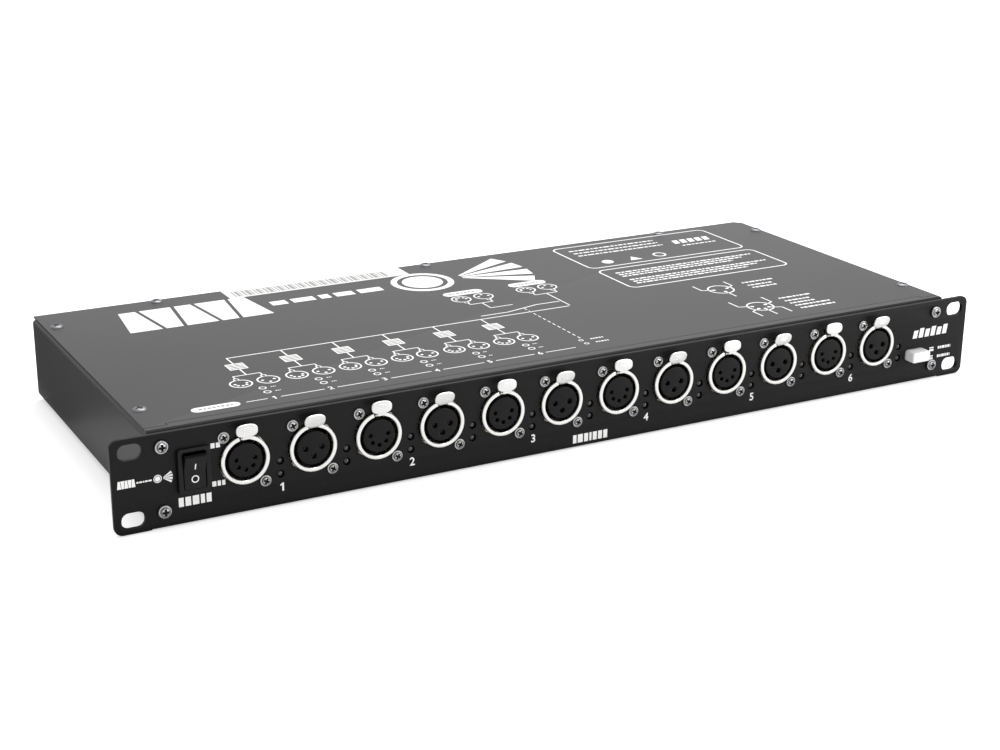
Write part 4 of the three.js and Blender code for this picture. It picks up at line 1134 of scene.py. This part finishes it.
small_marks = grey_marks(-194.5, -178.5, figure_row, 1.8, (1.5, 1.2, 1.6))

# The input and the link: a filled bar, two sockets and a line to the bus, and a dashed line to its lamps.
for x0, x1, x, foot in ((-16.5, 7, -4.3, 97), (24, 47, 35.7, 82)):
    diagram.append(pill(x0, x1, 125, 132))
    small_marks += grey_marks(x0 + 3.5, x1 - 3.5, 128.5, 2.2, (1.6, 1.3, 1.8))
    diagram += socket_pair(x, 118, 107, 110.2, -1) + [line(x, 107, x, foot, 0.7, crossing_ink)]
diagram += path([(-4.3, 97), (9, 97)], 0.7) + path([(-16, 86), (0, 86), (20, 91), (34.5, 91)])
diagram += [line(11, y, 11, y - 3, 0.6) for y in range(88, 30, -5)]
for y in (27, 21.5):
    diagram += [circle_line(9.5, y, 1.1, 0.5, 16)] + dashes(15, 23, y, 1.3, (1.1, 0.9, 1.4), 0.5)
diagram += lamp_sign(-187.5, 140.5, 1.0)

# Two framed panels with rows of marks, then the faces of both kinds of socket, with a line from each
# contact and a row of marks for it.
for y0, y1, rows in ((137.5, 185, (176, 170.5, 165)), (94, 133, (124, 120.3, 116.6, 109, 105.3, 101.6))):
    frame_middle, width, height = (137.5, (y0 + y1) / 2), 109, y1 - y0
    outer = rounded(*frame_middle, width, height, radius=5)
    inner = rounded(*frame_middle, width - 2, height - 2, radius=4)
    diagram.append(ring_stamp(outer, inner))
    for k, y in enumerate(rows):
        end = 150 if y0 > 130 else 185 - 9 * (k % 3)
        diagram += dashes(91, end, y, 1.7, (3.1, 1.9, 4.2, 2.6, 1.4), 0.8)
diagram += [slanted(158 + 5.4 * k, 163, 3.8, 1.8, 170) for k in range(5)]
diagram += dashes(160, 184, 158, 1.5, (2.1, 3.3, 1.6), 0.8)
diagram += [stamp(disc(100, 147, 3.6)), stamp([(114, 143.5), (122, 143.5), (118, 150.5)])]
diagram.append(circle_line(136, 147, 3.6, 1.2, 24))
# For each kind: the middle of its circle, a line from each contact outwards, and each row with its end.
pin_signs = (
    (
        (125.5, 69.8),
        (
            ((121.2, 70.2), (114.6, 72.5), (114.6, 81.5)),
            ((129.8, 70.2), (135.6, 73.4), (135.6, 81.7)),
            ((125.5, 65.4), (125.5, 55.2)),
        ),
        ((75, 164.4), (69.5, 160.4), (65, 160.2)),
    ),
    (
        (125.7, 33.8),
        (
            ((121.5, 35.2), (114.4, 37.8), (114.4, 47.3)),
            ((129.9, 35.2), (136.2, 37.8), (136.2, 47.3)),
            ((129.2, 30.8), (135.5, 27.6), (135.5, 18.9)),
            ((125.7, 29.3), (125.7, 18.6)),
            ((122.4, 30.6), (116.4, 27.8), (116.4, 18.9)),
        ),
        ((41.2, 164.6), (35.7, 160.1), (31.1, 159.9), (26.5, 166.6), (21.7, 166.5)),
    ),
)
for sign_middle, leaders, rows in pin_signs:
    diagram.append(circle_line(*sign_middle, 7.2, 0.9, 48))
    for leader in leaders:
        diagram += [stamp(disc(*leader[0], 1.0, steps=12), crossing_ink)] + path(leader)
    for y, end in rows:
        diagram += dashes(143.6, end, y, 1.7, (1.2, 2.4, 3.7, 1.9))
cover_print_parts = in_finish(white_ink, diagram) + small_marks
place("cover_print", cover_print_parts, "chassis", (), (0, panel_front, cover_top))

# The label: a strip of white paper, glued on the cover near its back edge and folded down over it.
# Rows of grey bars stand for its print.
label_paper = printed("label_paper", (0.78, 0.78, 0.77))
label_span = (-121.5, -14.5)
label_front, label_back, label_drop, paper = 175, 191.6, 7.5, 0.1
label_profile = [(label_front, 0), (label_front, paper), (label_back + paper, paper)]
label_profile += [(label_back + paper, -label_drop), (label_back, -label_drop), (label_back, 0)]
label = sweep([[(x, y, z) for y, z in label_profile] for x in label_span], closed=False)
label_parts = [(label, label_paper)]
bars_left, bars_right, bar_ink = -117.5, -27, 0.03
x, k = bars_left, 0
while x < bars_right:
    width = (0.8, 1.7, 0.5, 1.1, 2.2, 0.6)[k % 6]
    label_parts.append((stamp(rectangle(x, 177, x + width, 186.5), bar_ink, paper), grey_ink))
    x += width + (0.9, 0.6, 1.3)[k % 3]
    k += 1
place("paper_label", label_parts, "chassis", (), (0, panel_front, cover_top))

# The panel's print, in white ink on the black coat: plain figures under the outputs, and short marks
# where other words would be.
panel_print = [
    numeral(str(k // 2 + 1), x + lamp_offset + 0.6, -13.3, 4.0)
    for k, (x, z) in enumerate(socket_spots)
    if k % 2 == 0
]
panel_print += dashes(-10.3, 10.4, -17.8, 4.3, (2.0, 2.9, 2.3, 1.2, 2.3, 2.3, 2.3), 0.75)
panel_print += dashes(-211.9, -196.1, -11.6, 4.3, (2.3, 2.6, 3.0, 1.9, 2.3), 0.75)
panel_print += dashes(-196.2, -191, 12.3, 2.4, (1.9, 1.9), 0.6)
panel_print += dashes(-196.2, -189.9, -5.8, 2.4, (1.9, 1.5, 1.5), 0.6)
panel_print += lamp_sign(-238.9, -0.3, 0.105)
panel_print += [slanted(204.2 + 4.15 * k, 2.6, 3.0, 0.8, 7.0 + 0.9 * (k % 2)) for k in range(6)]
for y in (-5.1, -10.0):
    panel_print += [stamp(rectangle(217, y - 1.4, 220, y - 0.2)), line(217, y + 0.6, 220, y + 0.6, 0.6)]
    panel_print += dashes(223, 232, y, 1.5, (1.3, 0.9, 1.8, 1.1), 0.45)
panel_print_parts = fitted(in_finish(white_ink, panel_print), facing_front)
place("panel_print", panel_print_parts, "chassis", (), (0, panel_front, panel_middle))

# The back sockets: two link outputs like those in front, and two inputs, which are closed cups with
# standing pins. They sit close behind the thin wall.
back_depth = 1.3
cup_depth = 15.0
cup_floor = ring_reach - cup_depth
pin_length = 10.5


def pin_cup(count):
    """Ring, flange, cup and standing pins of an input."""
    shell = turned(
        [
            (bore_radius, cup_floor),
            (bore_radius, ring_reach - 0.45),
            (bore_radius + 0.75, ring_reach),
            (ring_radius - 0.75, ring_reach),
            (ring_radius, ring_reach - 0.45),
            (ring_radius, -back_depth - 1),
            (housing_radius, -back_depth - 1),
            (housing_radius, cup_floor - 2),
            (on_axis, cup_floor - 2),
            (on_axis, cup_floor),
        ]
    )
    bore = disc(0, 0, bore_radius + 0.4)
    flange = plate(rounded(0, 0, *flange_size, radius=flange_corner), [bore], flange_thickness, edge=0.2)
    floor_edge = bore_radius - 0.05
    floor = turned([(on_axis, 0), (on_axis, 0.8), (floor_edge, 0.8), (floor_edge, 0)])
    places, hole = contact_places(count)
    pin_radius = hole - 0.15
    tip = arc(0, pin_length - pin_radius, pin_radius, 0, 85, 6)
    pin = turned([(pin_radius, 0), *tip, (on_axis, pin_length), (on_axis, 0)], steps=20)
    parts = in_finish(nickel, [shell, moved(flange, shift(z=-back_depth - flange_thickness))])
    parts.append((moved(floor, shift(z=cup_floor)), black_plastic))
    return parts + [(moved(pin.copy(), shift(x, y, cup_floor)), contact_metal) for x, y in places]


for kind, node in back_sockets.items():
    count = int(kind[-1])
    x, z = middle(node)
    spot = (x, tray_high.y, z)
    if kind.startswith("link"):
        parts = in_finish(nickel, socket_shell(back_depth)) + contact_block(count)
        lever = in_finish(tab_metal, latch_parts(count, back_depth + pivot_behind_flange))
        lever = fitted(lever, *facing_back)
        solid = f"link_latch_{count}pin"
        place(f"rear_latch_{count}", lever, f"back_latch_{count}pin", [solid], spot)
    else:
        parts = pin_cup(count)
    parts = fitted(parts + screw_pair, *facing_back)
    place(f"rear_{kind}", parts, "chassis", [node], spot)

# The mains inlet: a black moulding snapped into the back wall, with three flat pins in a cup whose
# upper corners are cut off, and a drawer for the fuse under it.
inlet_flange, inlet_flange_thickness = (32.0, 29.0), 2.5
inlet_body, inlet_depth = (27.4, 26.0), 22.0
inlet_face = 2.8
cavity_middle, cavity_size, cavity_cut = 3.8, (24.0, 16.4), 4.0
cavity_floor = inlet_face - 16.0
drawer_middle, drawer_size, drawer_rim, drawer_depth = -9.2, (23.0, 5.0), 1.6, 19
inlet_nylon = moulded("inlet_nylon", (0.012, 0.012, 0.013), roughness=0.4, gloss=0.4, depth=0.03)
w, h = cavity_size[0] / 2, cavity_size[1] / 2
cavity = [(-w, -h), (w, -h), (w, h - cavity_cut), (w - cavity_cut, h)]
cavity += [(cavity_cut - w, h), (-w, h - cavity_cut)]
cavity = [(x, y + cavity_middle) for x, y in cavity]
drawer_hole = rounded(0, drawer_middle, *[size + 0.6 for size in drawer_size], radius=0.2, steps=2)
flange_outline = rounded(0, 0, *inlet_flange, radius=3, steps=8)
flange = plate(flange_outline, [cavity, drawer_hole], inlet_flange_thickness, edge=0.5, rounds=4)
body_outline = rounded(0, 0, *inlet_body, radius=0.5, steps=2)
cup = plate(body_outline, [cavity, drawer_hole], 1 - cavity_floor, edge=0.05)
closed_size = [size - 0.2 for size in inlet_body]
closed_end = box(0, 0, -inlet_depth, *closed_size, cavity_floor + inlet_depth + 0.2)
inlet_shells = [moved(flange, shift(z=0.3)), moved(cup, shift(z=cavity_floor)), closed_end]
inlet_parts = in_finish(inlet_nylon, inlet_shells)
for x, y in ((0, cavity_middle + 1.7), (-7, cavity_middle - 1.7), (7, cavity_middle - 1.7)):
    blade = plate(rounded(0, 0, 2, 4, radius=0.4), [], 13, edge=0.35, rounds=3)
    inlet_parts.append((moved(blade, shift(x, y, cavity_floor)), nickel))
    inlet_parts.append((box(x, y, -inlet_depth - blade_reach, 0.8, 4.8, 8.5, edge=0.1), contact_metal))
inlet_parts = fitted(inlet_parts, *facing_back)
inlet_spot = (inlet_middle[0], tray_high.y, inlet_middle[1])
place("mains_socket", inlet_parts, "chassis", ["mains_inlet"], inlet_spot)

drawer_outline = rounded(0, 0, *[size + drawer_rim for size in drawer_size], radius=0.8)
drawer_face = plate(drawer_outline, [], 1.4, edge=0.35, rounds=3)
drawer_face = moved(drawer_face, shift(y=drawer_middle, z=inlet_face + 0.3))
drawer_body = box(0, drawer_middle, inlet_face - drawer_depth, *drawer_size, drawer_depth + 0.4)
drawer_parts = fitted(in_finish(inlet_nylon, [drawer_face, drawer_body]), *facing_back)
place("fuse_tray", drawer_parts, "fuse_drawer", ["fuse_drawer"], inlet_spot)

# The mains transformer: a core of stacked iron sheets round a coil in yellow tape. It stands on a
# zinc strap with two feet, beside the inlet.


def underside(node):
    """The middle of a solid's underside, in millimetres."""
    low, high = corners(node)
    return (low.x + high.x) / 2, (low.y + high.y) / 2, low.z


def laminations():
    """Varnished iron sheets whose edges show as fine lines."""
    material, tree, shader = new_material("laminations")
    spot = tree.nodes.new("ShaderNodeTexCoord")
    wave = tree.nodes.new("ShaderNodeTexWave")
    wave.bands_direction = "Y"
    feed(tree, wave, {"Scale": 900, "Distortion": 0.4, "Vector": spot.outputs["Object"]})
    toned(tree, shader, (0.12, 0.11, 0.10), about_zero(tree, wave.outputs["Fac"]), 0.6)
    feed(tree, shader, {"Metallic": 0.6, "Roughness": 0.5})
    bumped(tree, shader, wave.outputs["Fac"], 0.05)
    return material


tape_yellow = moulded("coil_tape", (0.55, 0.40, 0.06), roughness=0.4, gloss=0.4, depth=0.05)
core_size, strap_size = (48, 18, 31.8), (62, 17.6, 2)
coil_width, coil_height, coil_length, coil_middle = 30, 24, 34, 16
coil = plate(rounded(0, 0, coil_width, coil_height, radius=3), [], coil_length, edge=1.2, rounds=4)
core_parts = [
    (box(0, 0, 0.2, *core_size, edge=0.3), laminations()),
    (moved(coil, turn(90, "X"), shift(y=coil_length / 2, z=coil_middle)), tape_yellow),
    (box(0, 0, 0, *strap_size, edge=0.3), zinc),
]
core_spot = underside("mains_transformer")
place("transformer_parts", core_parts, "chassis", ["mains_transformer"], core_spot)

# Four rubber feet under the case, each a low cone moulded in black rubber, with a recess in its middle
# for the screw that holds it.


def rubber():
    """Matt rubber with a dusty bloom."""
    material, tree, shader = new_material("black_rubber")
    toned(tree, shader, (0.012, 0.012, 0.012), about_zero(tree, noise_node(tree, 300, detail=4.0)), 0.7)
    feed(tree, shader, {"Roughness": 0.85})
    bumped(tree, shader, noise_node(tree, 2500), 0.03)
    return material


foot_top = tray_low.z - 0.3
foot_profile = [(on_axis, 1.2), (2.2, 1.2), (2.4, 0.2), (2.7, 0), (5.8, 0), (6.15, 0.12), (6.3, 0.5)]
foot_profile += [(6.95, foot_top), (on_axis, foot_top)]
foot_mesh = merged("foot", [(turned(foot_profile, steps=40), rubber())])
for k in range(4):
    spot = underside(f"rubber_foot_{k + 1}")
    place(f"round_foot_{k + 1}", foot_mesh, "chassis", [f"rubber_foot_{k + 1}"], spot)

# The studio: a wide pale floor, a large soft light over the part, a lower one from the right, and a
# white room all round, which glossy surfaces mirror. The left side mirrors a dark card on the floor.


def studio_sheet(name, x0, y0, x1, y1, height):
    """A flat level sheet, in metres, with its material's nodes and shader."""
    mesh = bpy.data.meshes.new(name)
    mesh.from_pydata([(x, y, height) for x, y in rectangle(x0, y0, x1, y1)], [], [(0, 1, 2, 3)])
    material, tree, shader = new_material(f"{name}_paint")
    mesh.materials.append(material)
    return in_scene(name, mesh), tree, shader


floor, tree, shader = studio_sheet("floor", -9, -9, 9, 9, 0)
toned(tree, shader, (0.9, 0.9, 0.9), about_zero(tree, noise_node(tree, 3)), 0.01)
rays = tree.nodes.new("ShaderNodeLightPath").outputs
seen = math_node(tree, "MAXIMUM", rays["Is Camera Ray"], rays["Is Transmission Ray"])
glow = math_node(tree, "MULTIPLY", seen, 0.5)
feed(tree, shader, {"Roughness": 0.9, "Specular IOR Level": 0.0})
feed(tree, shader, {"Emission Color": (1, 1, 1, 1), "Emission Strength": glow})

card, tree, shader = studio_sheet("dark_card", -0.9, 0.05, -0.227, 0.9, MM)
feed(tree, shader, {"Base Color": (0.01, 0.01, 0.01, 1)})
card.visible_camera = card.visible_diffuse = card.visible_shadow = False

for name, size, power, spot, target in (
    ("overhead", 1.6, 30, (0.5, 0.45, 1.7), (0.05, 0, 0)),
    ("right_fill", 1.0, 14, (1.4, -1.1, 0.6), (0.1, 0, 0)),
):
    data = bpy.data.lights.new(name, "AREA")
    data.size, data.energy = size, power
    light = in_scene(name, data)
    light.location = spot
    light.rotation_euler = (Vector(target) - Vector(spot)).to_track_quat("-Z", "Y").to_euler()

world = bpy.data.worlds.new("studio")
bpy.context.scene.world = world
world.use_nodes = True
room = world.node_tree
rays = room.nodes.new("ShaderNodeLightPath").outputs
seen = math_node(room, "MAXIMUM", rays["Is Camera Ray"], rays["Is Glossy Ray"])
seen = math_node(room, "MAXIMUM", seen, rays["Is Transmission Ray"])
strength = math_node(room, "ADD", 0.6, math_node(room, "MULTIPLY", seen, 0.4))
feed(room, room.nodes["Background"], {"Color": (1, 1, 1, 1), "Strength": strength})
bpy.context.scene.view_settings.view_transform = "Standard"
